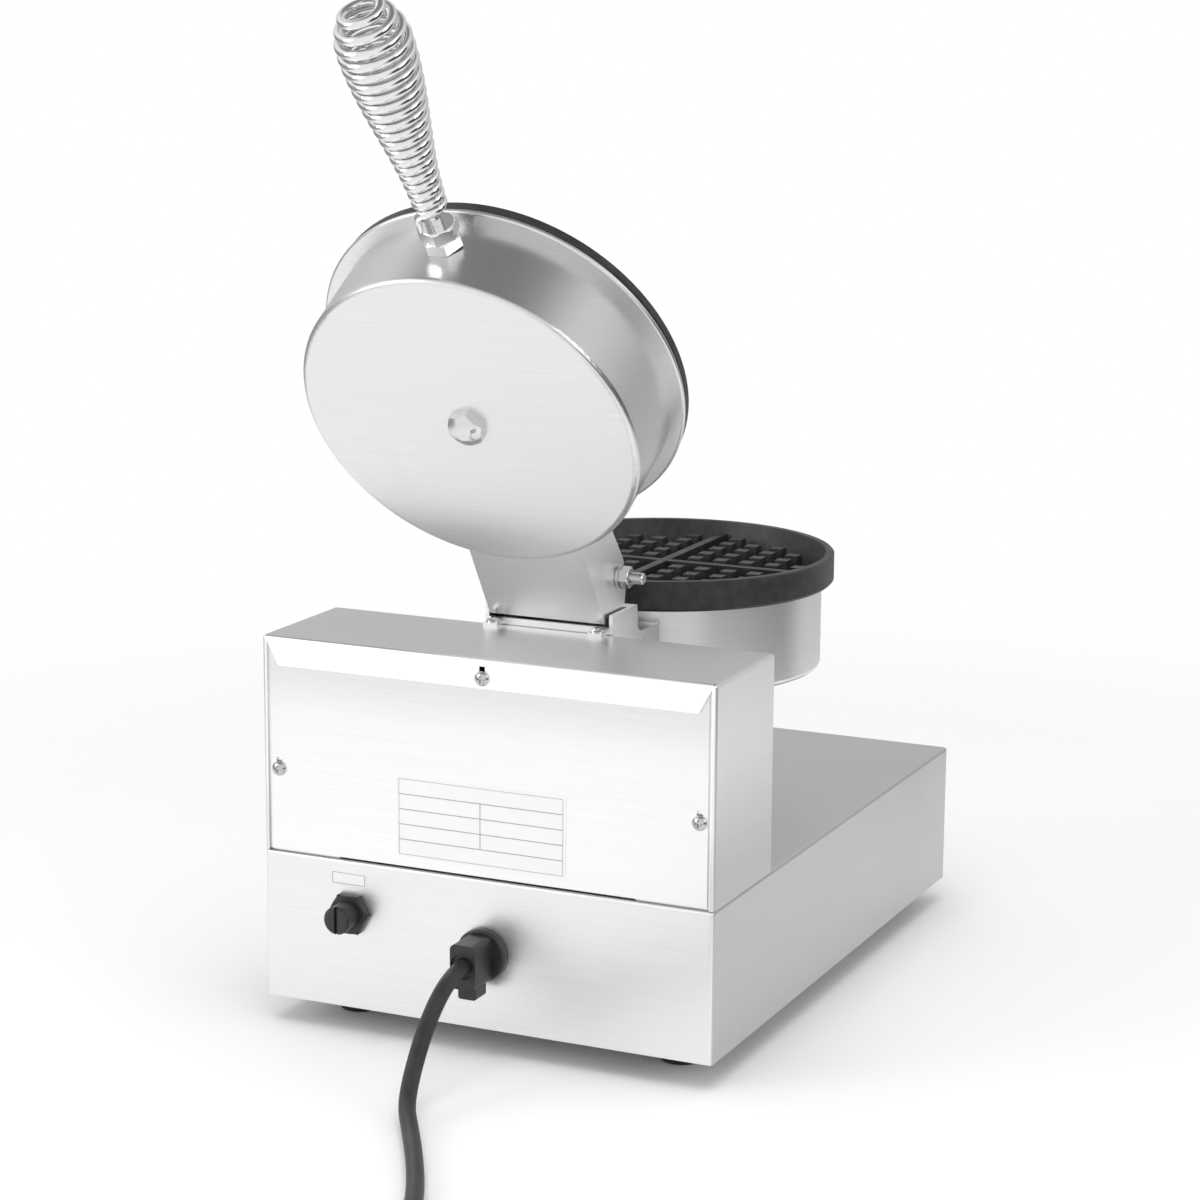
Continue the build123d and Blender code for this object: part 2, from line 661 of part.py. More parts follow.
# Heater, clamp disc, insulation and centre bolt behind each plate
heater_ring = 56.0
heater_radius = 4.0
clamp_sheet = 2.0
insulation_depth = 12.0
terminal_angles = (80.0, 100.0)
terminal_spots = [(heater_ring * math.cos(math.radians(a)), heater_ring * math.sin(math.radians(a)))
                  for a in terminal_angles]


def heater(back):
    """Tubular ring on the back of a casting, its two ends turned away from it."""
    with BuildPart() as element:
        with BuildLine(back.offset(heater_radius)) as ring:
            CenterArc((0, 0), heater_ring, terminal_angles[1], 360 - terminal_angles[1] + terminal_angles[0])
        with BuildSketch(Plane(origin=ring.line @ 0, z_dir=ring.line % 0)):
            Circle(heater_radius)
        sweep(path=ring.line)
        with BuildSketch(back.offset(heater_radius)):
            with Locations(*terminal_spots):
                Circle(heater_radius * 0.8)
        extrude(amount=insulation_depth + 10)
    return element.part


def drilled_disc(plane, radius, thickness, centre_hole, side_hole):
    """Disc with a centre hole and one hole for each heater end."""
    with BuildPart() as disc:
        with BuildSketch(plane):
            Circle(radius)
            Circle(centre_hole, mode=Mode.SUBTRACT)
            with Locations(*terminal_spots):
                Circle(side_hole, mode=Mode.SUBTRACT)
        extrude(amount=thickness)
    return disc.part


def centre_bolt(spot, length):
    """Bolt with a domed hex head on the drum's end, its shank screwed into the casting."""
    with BuildPart() as bolt:
        with BuildSketch(spot):
            RegularPolygon(8.5, 6, major_radius=False, rotation=15)
        extrude(amount=7)
        with BuildSketch(axial(spot)):
            with BuildLine():
                ThreePointArc((0, 7.6), (5.5, 6.3), (11, 2.0))
                Polyline((11, 2.0), (11, 9), (0, 9), (0, 7.6))
            make_face()
        revolve(axis=Axis(spot.origin, spot.z_dir), mode=Mode.SUBTRACT)
        with BuildSketch(spot):
            Circle(bolt_radius)
        extrude(amount=-length)
    return bolt.part


plate_drop = floor_drop + plate_floor
lower_back = Plane(origin=(0, plate_y, rim_top - plate_drop), x_dir=(-1, 0, 0), z_dir=(0, 0, -1))
upper_back = Plane(origin=upper_rim.origin + lid_up * plate_drop, x_dir=(1, 0, 0), z_dir=lid_up)
upper_depth = lid_drum_height + lid_rim_height - floor_drop - plate_floor
lower_depth = lower_drum_height + lower_rim_height - floor_drop - plate_floor
for name, back, end, depth in (("lower", lower_back, lower_end, lower_depth),
                               ("upper", upper_back, lid_plane, upper_depth)):
    pieces = {
        "heater": heater(back),
        "clamp_disc": drilled_disc(back.offset(2 * heater_radius), heater_ring + 10, clamp_sheet, 3.2, 5.0),
        "insulation": drilled_disc(back.offset(2 * heater_radius + clamp_sheet), disc_radius - 6,
                                   insulation_depth, 3.2, 5.0),
        "centre_bolt": centre_bolt(end, depth + plate_floor * 0.5),
    }
    for kind, piece in pieces.items():
        piece.label = name + "_" + kind
        export_step(piece, "parts/" + name + "_" + kind + ".step")

# Lid drum: spun cup with a rolled flange round its mouth
handle_root = face_centre + lid_front * drum_radius - lid_up * handle_depth
handle_plane = Plane(origin=handle_root, x_dir=(1, 0, 0), z_dir=handle_line)
wall_fitting_depth = 26.0
lead_hole = 4.0
lead_exit = Plane(origin=face_centre - lid_up * wall_fitting_depth - lid_front * drum_radius, x_dir=(1, 0, 0),
                  z_dir=lid_front * -1)
inner_half = arm_width / 2 - arm_sheet
arm_screw_spread = inner_half - screw_head - 0.6
arm_screw_spots = []
for share in (-1, -0.53, 0.53, 1):
    turn = math.asin(share * arm_screw_spread / (drum_radius + arm_sheet))
    outward = Vector(math.sin(turn), 0, 0) - lid_front * math.cos(turn)
    spot = face_centre + outward * (drum_radius + arm_sheet) - lid_up * wall_fitting_depth
    arm_screw_spots.append(Plane(origin=spot, x_dir=lid_up, z_dir=outward))
with BuildPart() as lid_drum:
    add(drum(lid_plane, lid_drum_height, flange_thickness))
    with BuildSketch(handle_plane.offset(4)):
        Circle(handle_stud_radius + 0.2)
    extrude(amount=-10, mode=Mode.SUBTRACT)
    for spot in arm_screw_spots:
        with BuildSketch(spot):
            Circle(screw_hole)
        extrude(amount=-6, mode=Mode.SUBTRACT)
    with BuildSketch(lead_exit):
        Circle(lead_hole)
    extrude(amount=5, both=True, mode=Mode.SUBTRACT)
lid_drum.part.label = "lid_drum"
export_step(lid_drum.part, "parts/lid_drum.step")

# Lid arm: folded channel, its web outside, its two ears running down to the hinge
web_end = hinge_reach + 9.0
ear_tip = hinge_reach + 19.5
arm_low = lid_drum_height - flange_thickness - 1.5
with BuildPart() as lid_arm:
    with BuildSketch(lid_side.offset(-arm_width / 2)):
        with BuildLine():
            Polyline((drum_radius - 18, -arm_depth), (web_end, -arm_depth), (web_end + 4.5, -arm_depth - 4.5),
                     (ear_tip, -face_rise + 4.9), (hinge_reach + 10, -face_rise - 4.2),
                     (hinge_reach - 4, -face_rise - 8.8), (drum_radius + 16, -face_rise - 5.6),
                     (drum_radius + 11, -arm_low), (drum_radius - 18, -arm_low),
                     (drum_radius - 18, -arm_depth))
        make_face()
    extrude(amount=arm_width)
    with BuildSketch(lid_side.offset(-inner_half)):
        with BuildLine():
            Polyline((0, -arm_depth - arm_sheet), (web_end, -arm_depth - arm_sheet), (web_end, 0),
                     (ear_tip + 10, 0), (ear_tip + 10, -face_rise - 20), (0, -face_rise - 20),
                     (0, -arm_depth - arm_sheet))
        make_face()
    extrude(amount=2 * inner_half, mode=Mode.SUBTRACT)
    with BuildSketch(lid_plane.offset(-arm_low)):
        Circle(drum_radius + arm_sheet)
        with Locations((0, drum_radius)):
            Rectangle(2 * inner_half + 1, 24, mode=Mode.INTERSECT)
    extrude(amount=arm_low - arm_depth)
    with BuildSketch(lid_plane):
        Circle(drum_radius)
    extrude(amount=-lid_drum_height, mode=Mode.SUBTRACT)
    with BuildSketch(lid_side):
        with Locations((hinge_reach, -face_rise)):
            Circle(bolt_radius + bolt_clearance)
    extrude(amount=arm_width, both=True, mode=Mode.SUBTRACT)
    for spot in arm_screw_spots:
        with BuildSketch(spot):
            Circle(screw_hole)
        extrude(amount=-6, mode=Mode.SUBTRACT)
    with BuildSketch(lead_exit):
        Circle(lead_hole)
    extrude(amount=5, both=True, mode=Mode.SUBTRACT)
lid_arm.part.label = "lid_arm"
export_step(lid_arm.part, "parts/lid_arm.step")

arm_screws = pan_screws([spot.offset(0.3) for spot in arm_screw_spots], screw_radius, screw_head,
                        screw_head_height, 8)
arm_screws.label = "arm_screws"
export_step(arm_screws, "parts/arm_screws.step")

# Handle: stud through the lid drum's wall, locked by two hex nuts outside and one inside
with BuildPart() as handle_stud:
    with BuildSketch(handle_plane.offset(-9)):
        Circle(handle_stud_radius)
    extrude(amount=9 + coil_foot + 42)
    chamfer(handle_stud.faces().sort_by(Axis(handle_root, handle_line))[-1].edges(), 0.8)
handle_stud.part.label = "handle_stud"
export_step(handle_stud.part, "parts/handle_stud.step")

with BuildPart() as handle_nuts:
    add(hex_nuts([handle_plane.offset(handle_seat)], handle_nut_across, handle_nut_height,
                 handle_stud_radius + bolt_clearance, 2))
    add(hex_nuts([handle_plane.offset(handle_seat + handle_nut_height)], handle_nut_across,
                 handle_nut_height, handle_stud_radius + bolt_clearance, 40))
    add(hex_nuts([handle_plane.offset(-drum_wall - 5.6)], 10, 5, handle_stud_radius + bolt_clearance))
handle_nuts.part.label = "handle_nuts"
export_step(handle_nuts.part, "parts/handle_nuts.step")


def coil_point(turns):
    """Point of the grip's centre line, a number of turns from its foot."""
    return handle_plane.from_local_coords(coil_local(turns))


def heading(curve, at):
    """Unit tangent of a curve given as a function."""
    step = 1e-4
    return (curve(at + step) - curve(at - step)).normalized()


def biarc(start, start_heading, end, end_heading):
    """Middle point of two tangent arcs that join two points, and the heading there."""
    chord = end - start
    both = start_heading + end_heading
    square = 2 * (start_heading.dot(end_heading) - 1)
    cross = -2 * chord.dot(both)
    reach_out = (-cross - math.sqrt(cross ** 2 - 4 * square * chord.dot(chord))) / (2 * square)
    if reach_out < 0:
        reach_out = (-cross + math.sqrt(cross ** 2 - 4 * square * chord.dot(chord))) / (2 * square)
    first = start + start_heading * reach_out
    second = end - end_heading * reach_out
    return (first + second) * 0.5, (second - first).normalized()


def wind(curve, turns, step):
    """Arcs along a winding curve, two for each step of its turns."""
    count = round(turns / step)
    for index in range(count):
        low, high = index * turns / count, (index + 1) * turns / count
        start, end = curve(low), curve(high)
        start_heading, end_heading = heading(curve, low), heading(curve, high)
        middle, middle_heading = biarc(start, start_heading, end, end_heading)
        TangentArc(start, middle, tangent=start_heading)
        TangentArc(middle, end, tangent=middle_heading)


def least_gap(curve, turns, diameter):
    """Least clear distance between the neighbouring turns of a winding curve, measured on points."""
    points = [curve(index / 48) for index in range(int(turns * 48) + 1)]
    return min((points[i] - points[j]).length for i in range(len(points))
               for j in range(i + 30, min(i + 110, len(points)))) - diameter


# Coil grip: one unbroken chrome wire, its foot standing square on the outer nut
first_heading = heading(coil_point, 0)
rise_share = first_heading.dot(handle_line)
level = (first_heading - handle_line * rise_share).normalized()
bend_turn = math.acos(rise_share)
bend_start = (coil_point(0) - level * (coil_bend * (1 - math.cos(bend_turn)))
              - handle_line * (coil_bend * math.sin(bend_turn)))
wire_foot = bend_start - handle_line * ((bend_start - handle_root).dot(handle_line) - coil_foot)
last_point = coil_point(coil_turns)
last_heading = heading(coil_point, coil_turns)
with BuildPart() as handle_coil:
    with BuildLine() as wire:
        Line(wire_foot, bend_start)
        TangentArc(bend_start, coil_point(0), tangent=handle_line)
        wind(coil_point, coil_turns, 0.25)
        Line(last_point, last_point + last_heading * wire_diameter)
    with BuildSketch(Plane(origin=wire.line @ 0, z_dir=wire.line % 0)):
        Circle(wire_diameter / 2)
    sweep(path=wire.line)
handle_coil.part.label = "handle_coil"
export_step(handle_coil.part, "parts/handle_coil.step")
print("coil grip, least gap between turns", round(least_gap(coil_point, coil_turns, wire_diameter), 2))

# Rotary controls: body and bush behind the panel, nut, then a shaft and knob that turn as one
control_depth = 28.0
nut_thickness = 2.5
for name, side in (("thermostat", -1), ("timer", 1)):
    spot = ahead(side * knob_spread, panel_z)
    with BuildPart() as body:
        with BuildSketch(spot.offset(-sheet - control_depth)):
            RectangleRounded(36, 36, 3)
        extrude(amount=control_depth)
        with BuildSketch(spot.offset(-sheet)):
            Circle(bush_radius)
        extrude(amount=sheet + nut_thickness + 0.5)
        with BuildSketch(spot.offset(nut_thickness + 0.5)):
            Circle(shaft_radius + shaft_clearance)
        extrude(amount=-20, mode=Mode.SUBTRACT)
    with BuildPart() as shaft:
        with BuildSketch(spot.offset(-14)):
            Circle(shaft_radius)
        extrude(amount=14 + knob_gap + knob_height - 4)
    with BuildPart() as knob:
        with BuildSketch(axial(spot)):
            with BuildLine():
                Polyline((9.5, knob_gap), (knob_radius, knob_gap), (knob_radius, knob_gap + 3),
                         (knob_radius - 2.5, knob_gap + 4.5), (knob_radius - 4, knob_gap + knob_height - 1.2),
                         (knob_radius - 5.2, knob_gap + knob_height), (0, knob_gap + knob_height),
                         (0, knob_gap + 5), (9.5, knob_gap + 5), (9.5, knob_gap))
            make_face()
        revolve(axis=Axis(spot.origin, spot.z_dir))
        with BuildSketch(spot.offset(knob_gap + 5)):
            Circle(shaft_radius)
        extrude(amount=knob_height - 9, mode=Mode.SUBTRACT)
        with BuildSketch(spot.offset(knob_gap + knob_height)):
            with Locations((0, knob_radius * 0.42)):
                Rectangle(1.6, knob_radius * 0.6)
        extrude(amount=-0.8, mode=Mode.SUBTRACT)
    for kind, piece in (("body", body.part), ("shaft", shaft.part), ("knob", knob.part)):
        piece.label = name + "_" + kind
        export_step(piece, "parts/" + name + "_" + kind + ".step")

control_nuts = hex_nuts([ahead(-knob_spread, panel_z), ahead(knob_spread, panel_z)], control_nut_across,
                        nut_thickness, bush_radius + bolt_clearance, 10)
control_nuts.label = "control_nuts"
export_step(control_nuts, "parts/control_nuts.step")

# Rocker switch: frame and pocket in the panel, rocker on two short pins
bezel = 1.8
pivot_depth = 2.0
pin_radius = 1.2
pin_clearance = 0.05
pocket_half = rocker_length / 2 + 0.3
switch_spot = ahead(0, panel_z)
rocker_pivot = Vector(0, front_y - bezel + pivot_depth, panel_z)
with BuildPart() as switch_body:
    with BuildSketch(switch_spot.offset(bezel)):
        RectangleRounded(rocker_width + 9, rocker_length + 11, 2)
    extrude(amount=-bezel)
    with BuildSketch(switch_spot):
        Rectangle(rocker_width + 4, rocker_length + 6)
    extrude(amount=-22)
    with BuildSketch(switch_spot.offset(bezel)):
        Rectangle(rocker_width + 0.4, 2 * pocket_half)
    extrude(amount=-bezel - 12, mode=Mode.SUBTRACT)
    with BuildSketch(Plane.YZ):
        with Locations((rocker_pivot.Y, rocker_pivot.Z)):
            Circle(pin_radius + pin_clearance)
    extrude(amount=rocker_width / 2 + 1.5, both=True, mode=Mode.SUBTRACT)
switch_body.part.label = "switch_body"
export_step(switch_body.part, "parts/switch_body.step")

lean = math.radians(rocker_tilt)
rocker_side = Plane(origin=rocker_pivot, x_dir=(0, math.cos(lean), math.sin(lean)), z_dir=(1, 0, 0))
tip = rocker_length * 0.46
with BuildPart() as power_rocker:
    with BuildSketch(rocker_side):
        with BuildLine():
            Polyline((-3.8, tip), (-2.6, 0), (-3.8, -tip), (2, -tip + 0.6), (6, -3), (6, 3), (2, tip - 0.6),
                     (-3.8, tip))
        make_face()
    extrude(amount=rocker_width / 2, both=True)
    with BuildSketch(rocker_side):
        Circle(pin_radius)
    extrude(amount=rocker_width / 2 + 1.2, both=True)
power_rocker.part.label = "power_rocker"
export_step(power_rocker.part, "parts/power_rocker.step")

# Signal lamps: two holders in the panel with domed lenses
lamp_xs = (-lamp_spread, lamp_spread)
with BuildPart() as lamp_holders:
    for x in lamp_xs:
        with BuildSketch(axial(ahead(x, lamp_z))):
            with BuildLine():
                Polyline((0, -18), (lamp_radius, -18), (lamp_radius, 0), (lamp_radius + 1.8, 0),
                         (lamp_radius + 1.8, 1), (lamp_radius + 1, 1.8), (lamp_radius - 1, 1.8),
                         (lamp_radius - 1, -4), (0, -4), (0, -18))
            make_face()
        revolve(axis=Axis((x, front_y, lamp_z), (0, -1, 0)))
lamp_holders.part.label = "lamp_holders"
export_step(lamp_holders.part, "parts/lamp_holders.step")

for name, x in (("red", lamp_xs[0]), ("green", lamp_xs[1])):
    lens_radius = lamp_radius - 1
    with BuildPart() as lens:
        with BuildSketch(axial(ahead(x, lamp_z))):
            with BuildLine():
                Polyline((0, -4), (lens_radius, -4), (lens_radius, 1.6), (lens_radius * 0.8, 2.6),
                         (lens_radius * 0.45, 3.3), (0, 3.3), (0, -4))
            make_face()
        revolve(axis=Axis((x, front_y, lamp_z), (0, -1, 0)))
    lens.part.label = name + "_lamp_lens"
    export_step(lens.part, "parts/" + name + "_lamp_lens.step")

# Over-heat reset: body inside, nut and slotted cap outside, button under the cap
reset_nut_height = 4.5
reset_neck = 3.0
reset_neck_radius = 5.0
button_radius = 2.0
reset_spot = behind(reset_x, reset_z)
neck_end = reset_nut_height + reset_neck
cap_back = reset_nut_height + 0.2
with BuildPart() as reset_body:
    with BuildSketch(reset_spot.offset(-sheet - 22)):
        Circle(11)
    extrude(amount=22)
    with BuildSketch(reset_spot.offset(-sheet)):
        Circle(reset_bush_radius)
    extrude(amount=sheet + reset_nut_height)
    with BuildSketch(reset_spot.offset(reset_nut_height)):
        Circle(reset_neck_radius)
    extrude(amount=reset_neck)
    with BuildSketch(reset_spot.offset(neck_end)):
        Circle(button_radius + pin_clearance)
    extrude(amount=-neck_end - 12, mode=Mode.SUBTRACT)
reset_body.part.label = "reset_body"
export_step(reset_body.part, "parts/reset_body.step")

reset_nut = hex_nuts([reset_spot], reset_across, reset_nut_height, reset_bush_radius + bolt_clearance)
reset_nut.label = "reset_nut"
export_step(reset_nut, "parts/reset_nut.step")

with BuildPart() as reset_button:
    with BuildSketch(reset_spot.offset(-8)):
        Circle(button_radius)
    extrude(amount=8 + neck_end + 1.5 * reset_travel)
reset_button.part.label = "reset_button"
export_step(reset_button.part, "parts/reset_button.step")

cap_end = cap_back + reset_cap_length
with BuildPart() as reset_cap:
    with BuildSketch(axial(reset_spot)):
        with BuildLine():
            Polyline((reset_neck_radius + pin_clearance, cap_back), (reset_cap_radius, cap_back),
                     (reset_cap_radius, cap_end - 1), (reset_cap_radius - 1, cap_end), (0, cap_end),
                     (0, cap_end - 3.5), (3, cap_end - 3.5), (3, neck_end + 0.4),
                     (reset_neck_radius + pin_clearance, neck_end + 0.4),
                     (reset_neck_radius + pin_clearance, cap_back))
        make_face()
    revolve(axis=Axis(reset_spot.origin, reset_spot.z_dir))
    with BuildSketch(reset_spot.offset(cap_end)):
        Rectangle(1.8, 3 * reset_cap_radius)
    extrude(amount=-1.8, mode=Mode.SUBTRACT)
reset_cap.part.label = "reset_cap"
export_step(reset_cap.part, "parts/reset_cap.step")

# Blank plates: rating plate on the cover, tag over the reset cap
with BuildPart() as blank_plates:
    with BuildSketch(behind(1.65, base_top + tower_height * 0.237, -sheet)):
        RectangleRounded(94.3, 42.3, 1)
    extrude(amount=0.4)
    with BuildSketch(behind(reset_x + 1, reset_z + 17.9)):
        Rectangle(20, 7)
    extrude(amount=0.3)
blank_plates.part.label = "blank_plates"
export_step(blank_plates.part, "parts/blank_plates.step")

# Cord gland: flange and clamp block outside, nut inside
cord_radius = cord_diameter / 2
gland_neck = gland_radius * 0.68
gland_spot = behind(gland_x, gland_z)
gland_reach = gland_flange + gland_block_depth
with BuildPart() as cable_gland:
    with BuildSketch(gland_spot):
        Circle(gland_radius)
    extrude(amount=gland_flange)
    fillet(cable_gland.faces().sort_by(Axis.Y)[-1].edges(), 1.2)
    with BuildSketch(gland_spot.offset(-sheet - 9)):
        Circle(gland_neck)
    extrude(amount=sheet + 9)
    with BuildSketch(gland_spot.offset(gland_flange)):
        with Locations((0, -0.5)):
            RectangleRounded(14, 23, 3)
    extrude(amount=gland_block_depth)
    with BuildSketch(gland_spot.offset(gland_reach)):
        Circle(cord_radius + 0.1)
    extrude(amount=-gland_reach - sheet - 9, mode=Mode.SUBTRACT)
    with BuildSketch(gland_spot.offset(gland_reach)):
        Circle(cord_radius + 2.4)
    extrude(amount=-1.5, mode=Mode.SUBTRACT)
    with BuildSketch(gland_spot.offset(gland_flange + 3)):
        with Locations((0, -14.8)):
            RectangleRounded(10, 7.6, 1.5)
    extrude(amount=11)
cable_gland.part.label = "cable_gland"
export_step(cable_gland.part, "parts/cable_gland.step")

gland_nut = hex_nuts([behind(gland_x, gland_z, -sheet - 5.2)], 2.1 * gland_radius, 5,
                     gland_neck + bolt_clearance)
gland_nut.label = "gland_nut"
export_step(gland_nut, "parts/gland_nut.step")

# Terminal block on the bottom plate, behind the gland
block_x = -40.0
block_y = rear_y - 55.0
block_height = 15.0
block_top = foot_height + sheet + block_height
with BuildPart() as terminal_block:
    with BuildSketch(Plane.XY.offset(foot_height + sheet)):
        with Locations((block_x, block_y)):
            RectangleRounded(46, 18, 1.5)
    extrude(amount=block_height)
    with BuildSketch(Plane.XY.offset(block_top)):
        with Locations((block_x, block_y)):
            with GridLocations(11, 9, 4, 2):
                Circle(2.2)
    extrude(amount=-4, mode=Mode.SUBTRACT)
terminal_block.part.label = "terminal_block"
export_step(terminal_block.part, "parts/terminal_block.step")


def run_radii(points):
    """Bend radius at each inner point of a route: nearly as wide as its shorter run allows."""
    radii = []
    for before, here, after in zip(points, points[1:], points[2:]):
        arrive, leave = Vector(*here) - Vector(*before), Vector(*after) - Vector(*here)
        half_turn = math.acos(min(1, arrive.normalized().dot(leave.normalized()))) / 2
        radii.append(0.45 * min(arrive.length, leave.length) / math.tan(half_turn))
    return radii


def routed(points, radius):
    """Tube of straight runs joined by tangent arcs through a list of points."""
    with BuildPart() as run:
        with BuildLine() as path:
            FilletPolyline(*points, radius=run_radii(points))
        with BuildSketch(Plane(origin=path.line @ 0, z_dir=path.line % 0)):
            Circle(radius)
        sweep(path=path.line)
    return run.part


# Leads inside: supply from gland to block, mains up to the lower drum, and from the switch
lead_radius = 3.0
tower_y = tower_mid - tower_depth * 0.1
lead_runs = [
    [(gland_x, rear_y - 11, gland_z), (gland_x, rear_y - 22, gland_z), (-12, rear_y - 33, gland_z - 5),
     (-28, rear_y - 42, gland_z - 8), (-38, block_y, block_top + 13), (-38, block_y, block_top + 0.3)],
    [(-55, block_y, block_top + 0.3), (-55, block_y + 1, base_top - 30), (-35, tower_y, base_top - 12),
     (-14, tower_y, base_top + 16), (-4, tower_y, neck_wire_z - 30), (0, tower_y - 6, neck_wire_z - 5),
     (0, tower_front - 6, neck_wire_z), (0, tower_front - 30, neck_wire_z + 0.6),
     (0, neck_front - 4, neck_wire_z), (0, neck_front - 22, neck_wire_z - 0.6)],
    [(-12, front_y + sheet + 23, panel_z - 8), (-14, front_y + 45, panel_z - 12),
     (-22, front_y + 100, foot_height + 12), (-30, base_y, foot_height + 10),
     (-38, block_y - 60, foot_height + 9), (-43, block_y - 9.8, foot_height + 9)],
]
with BuildPart() as inner_leads:
    for points in lead_runs:
        add(routed(points, lead_radius))
inner_leads.part.label = "inner_leads"
export_step(inner_leads.part, "parts/inner_leads.step")


def in_lid(x, back, depth):
    """Point in the lid's frame: to the side, towards the hinge, below the top face."""
    return tuple(face_centre + Vector(x, 0, 0) - lid_front * back - lid_up * depth)


lid_run = [in_lid(0, back, wall_fitting_depth + drop) for back, drop in
           ((heater_ring + 12, 0), (drum_radius + 6, 0), (drum_radius + 22, 2), (hinge_reach - 8, 5))]
lid_lead = routed(lid_run, lead_radius * 0.8)
lid_lead.label = "lid_lead"
export_step(lid_lead, "parts/lid_lead.step")

# Power cord: out of the gland, down to the floor and away to its coil
loop_pitch = cord_diameter + 0.6
loop_turns = 4.25
loop_outer = 60.7
loop_centre = Vector(-143.7, rear_y + 268.5, cord_radius)
tail_rise = 18.6


def loop_point(turns):
    """Point of the put-away coil: it spirals in on the floor, climbs a layer, and spirals out."""
    radius = loop_outer - loop_pitch * min(turns, loop_turns - turns)
    climb = min(max((turns - loop_turns / 2) / 0.5 + 0.5, 0), 1)
    rise = loop_pitch * (0.5 - 0.5 * math.cos(math.pi * climb))
    angle = 2 * math.pi * turns
    return loop_centre + Vector(radius * math.cos(angle), radius * math.sin(angle), rise)


loop_lead = heading(loop_point, 0)
loop_start = loop_point(0) - loop_lead * cord_diameter
fall = [(gland_x, gland_reach - 12, 1), (gland_x, gland_reach + 1.5, 1), (-1.1, 38.5, 0.952),
        (-1.2, 51.5, 0.821), (-1.0, 63, 0.615), (-1.5, 73.5, 0.388), (-3.5, 84.5, 0.188), (-9, 98.5, 0.055),
        (-19, 113.5, 0), (-36, 141.5, 0), (-51, 168.1, 0), (-62, 190.5, 0), (-72, 214.5, 0), (-80, 235.5, 0)]
route = [(x, rear_y + out, cord_radius + (gland_z - cord_radius) * share) for x, out, share in fall]
route.append(tuple(loop_start - loop_lead * 11.5))
route.append(tuple(loop_start))
power_cord = routed(route, cord_radius)
power_cord.label = "power_cord"
export_step(power_cord, "parts/power_cord.step")
print("cord, bend radii", [round(radius) for radius in run_radii(route)])

loop_end = loop_point(loop_turns)
loop_exit = heading(loop_point, loop_turns)
tail_start = loop_end + loop_exit * cord_diameter
with BuildPart() as cord_coil:
    with BuildLine() as loops:
        Line(loop_start, loop_point(0))
        wind(loop_point, loop_turns, 0.25)
        Line(loop_end, tail_start)
    with BuildSketch(Plane(origin=loops.line @ 0, z_dir=loops.line % 0)):
        Circle(cord_radius)
    sweep(path=loops.line)
cord_coil.part.label = "cord_coil"
export_step(cord_coil.part, "parts/cord_coil.step")
print("cord coil, least gap between loops", round(least_gap(loop_point, loop_turns, cord_diameter), 2))

climb_left = tail_rise - tail_start.Z
tail_route = [tuple(tail_start)]
for along, share in ((9, 0), (21, 0.3), (33, 0.8), (45, 1), (54, 1)):
    tail_route.append(tuple(tail_start + loop_exit * along + Vector(0, 0, climb_left * share)))
cord_tail = routed(tail_route, cord_radius)
cord_tail.label = "cord_tail"
export_step(cord_tail, "parts/cord_tail.step")

# Plug: round body with a tapered sleeve, two round pins
plug_spot = Plane(origin=tail_route[-1], x_dir=(0, 0, 1), z_dir=loop_exit)
plug_length = 42.0
plug_radius = 18.5
with BuildPart() as plug_body:
    with BuildSketch(axial(plug_spot)):
        with BuildLine():
            Polyline((0, 0), (cord_radius + 1.5, 0), (cord_radius + 3.5, 14), (plug_radius - 5, 18),
                     (plug_radius, 24), (plug_radius, plug_length), (plug_radius - 1.5, plug_length + 1.5),
                     (0, plug_length + 1.5), (0, 0))
        make_face()
    revolve(axis=Axis(plug_spot.origin, plug_spot.z_dir))
plug_body.part.label = "plug_body"
export_step(plug_body.part, "parts/plug_body.step")

with BuildPart() as plug_pins:
    with BuildSketch(plug_spot.offset(plug_length + 1.5)):
        with Locations((0, -9.5), (0, 9.5)):
            Circle(2.4)
    extrude(amount=19)
    fillet(plug_pins.faces().sort_by(Axis(plug_spot.origin, plug_spot.z_dir))[-2:].edges(), 1.2)
plug_pins.part.label = "plug_pins"
export_step(plug_pins.part, "parts/plug_pins.step")
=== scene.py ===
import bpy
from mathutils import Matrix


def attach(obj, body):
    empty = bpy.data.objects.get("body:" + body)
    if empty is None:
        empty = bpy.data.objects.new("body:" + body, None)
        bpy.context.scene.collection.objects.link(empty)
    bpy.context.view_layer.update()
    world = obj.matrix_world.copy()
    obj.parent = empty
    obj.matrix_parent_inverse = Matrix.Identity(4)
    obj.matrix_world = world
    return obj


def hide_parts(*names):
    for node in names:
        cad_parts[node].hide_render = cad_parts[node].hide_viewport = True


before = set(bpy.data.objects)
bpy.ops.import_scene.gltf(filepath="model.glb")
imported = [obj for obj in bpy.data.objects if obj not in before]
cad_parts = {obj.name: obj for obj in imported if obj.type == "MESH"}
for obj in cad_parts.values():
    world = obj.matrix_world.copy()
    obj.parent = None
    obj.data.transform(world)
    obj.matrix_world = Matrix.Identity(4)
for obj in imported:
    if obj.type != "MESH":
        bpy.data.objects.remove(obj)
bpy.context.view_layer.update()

import math
import bpy
from mathutils import Vector

# Camera: stands behind the machine, to its left and a little above the lid's hinge,
# with the long lens and the slight roll that the photograph has.
camera_place = (-0.68175, 1.47421, 0.55422)
camera_angles = (78.082, -0.357, -155.3385)
bpy.ops.object.select_all(action="DESELECT")
bpy.ops.object.camera_add(location=camera_place, rotation=[math.radians(angle) for angle in camera_angles])
camera = bpy.context.object
camera.data.lens = 94.78
camera.data.sensor_width = 36.0
bpy.context.scene.camera = camera
bpy.context.scene.view_settings.view_transform = "Standard"


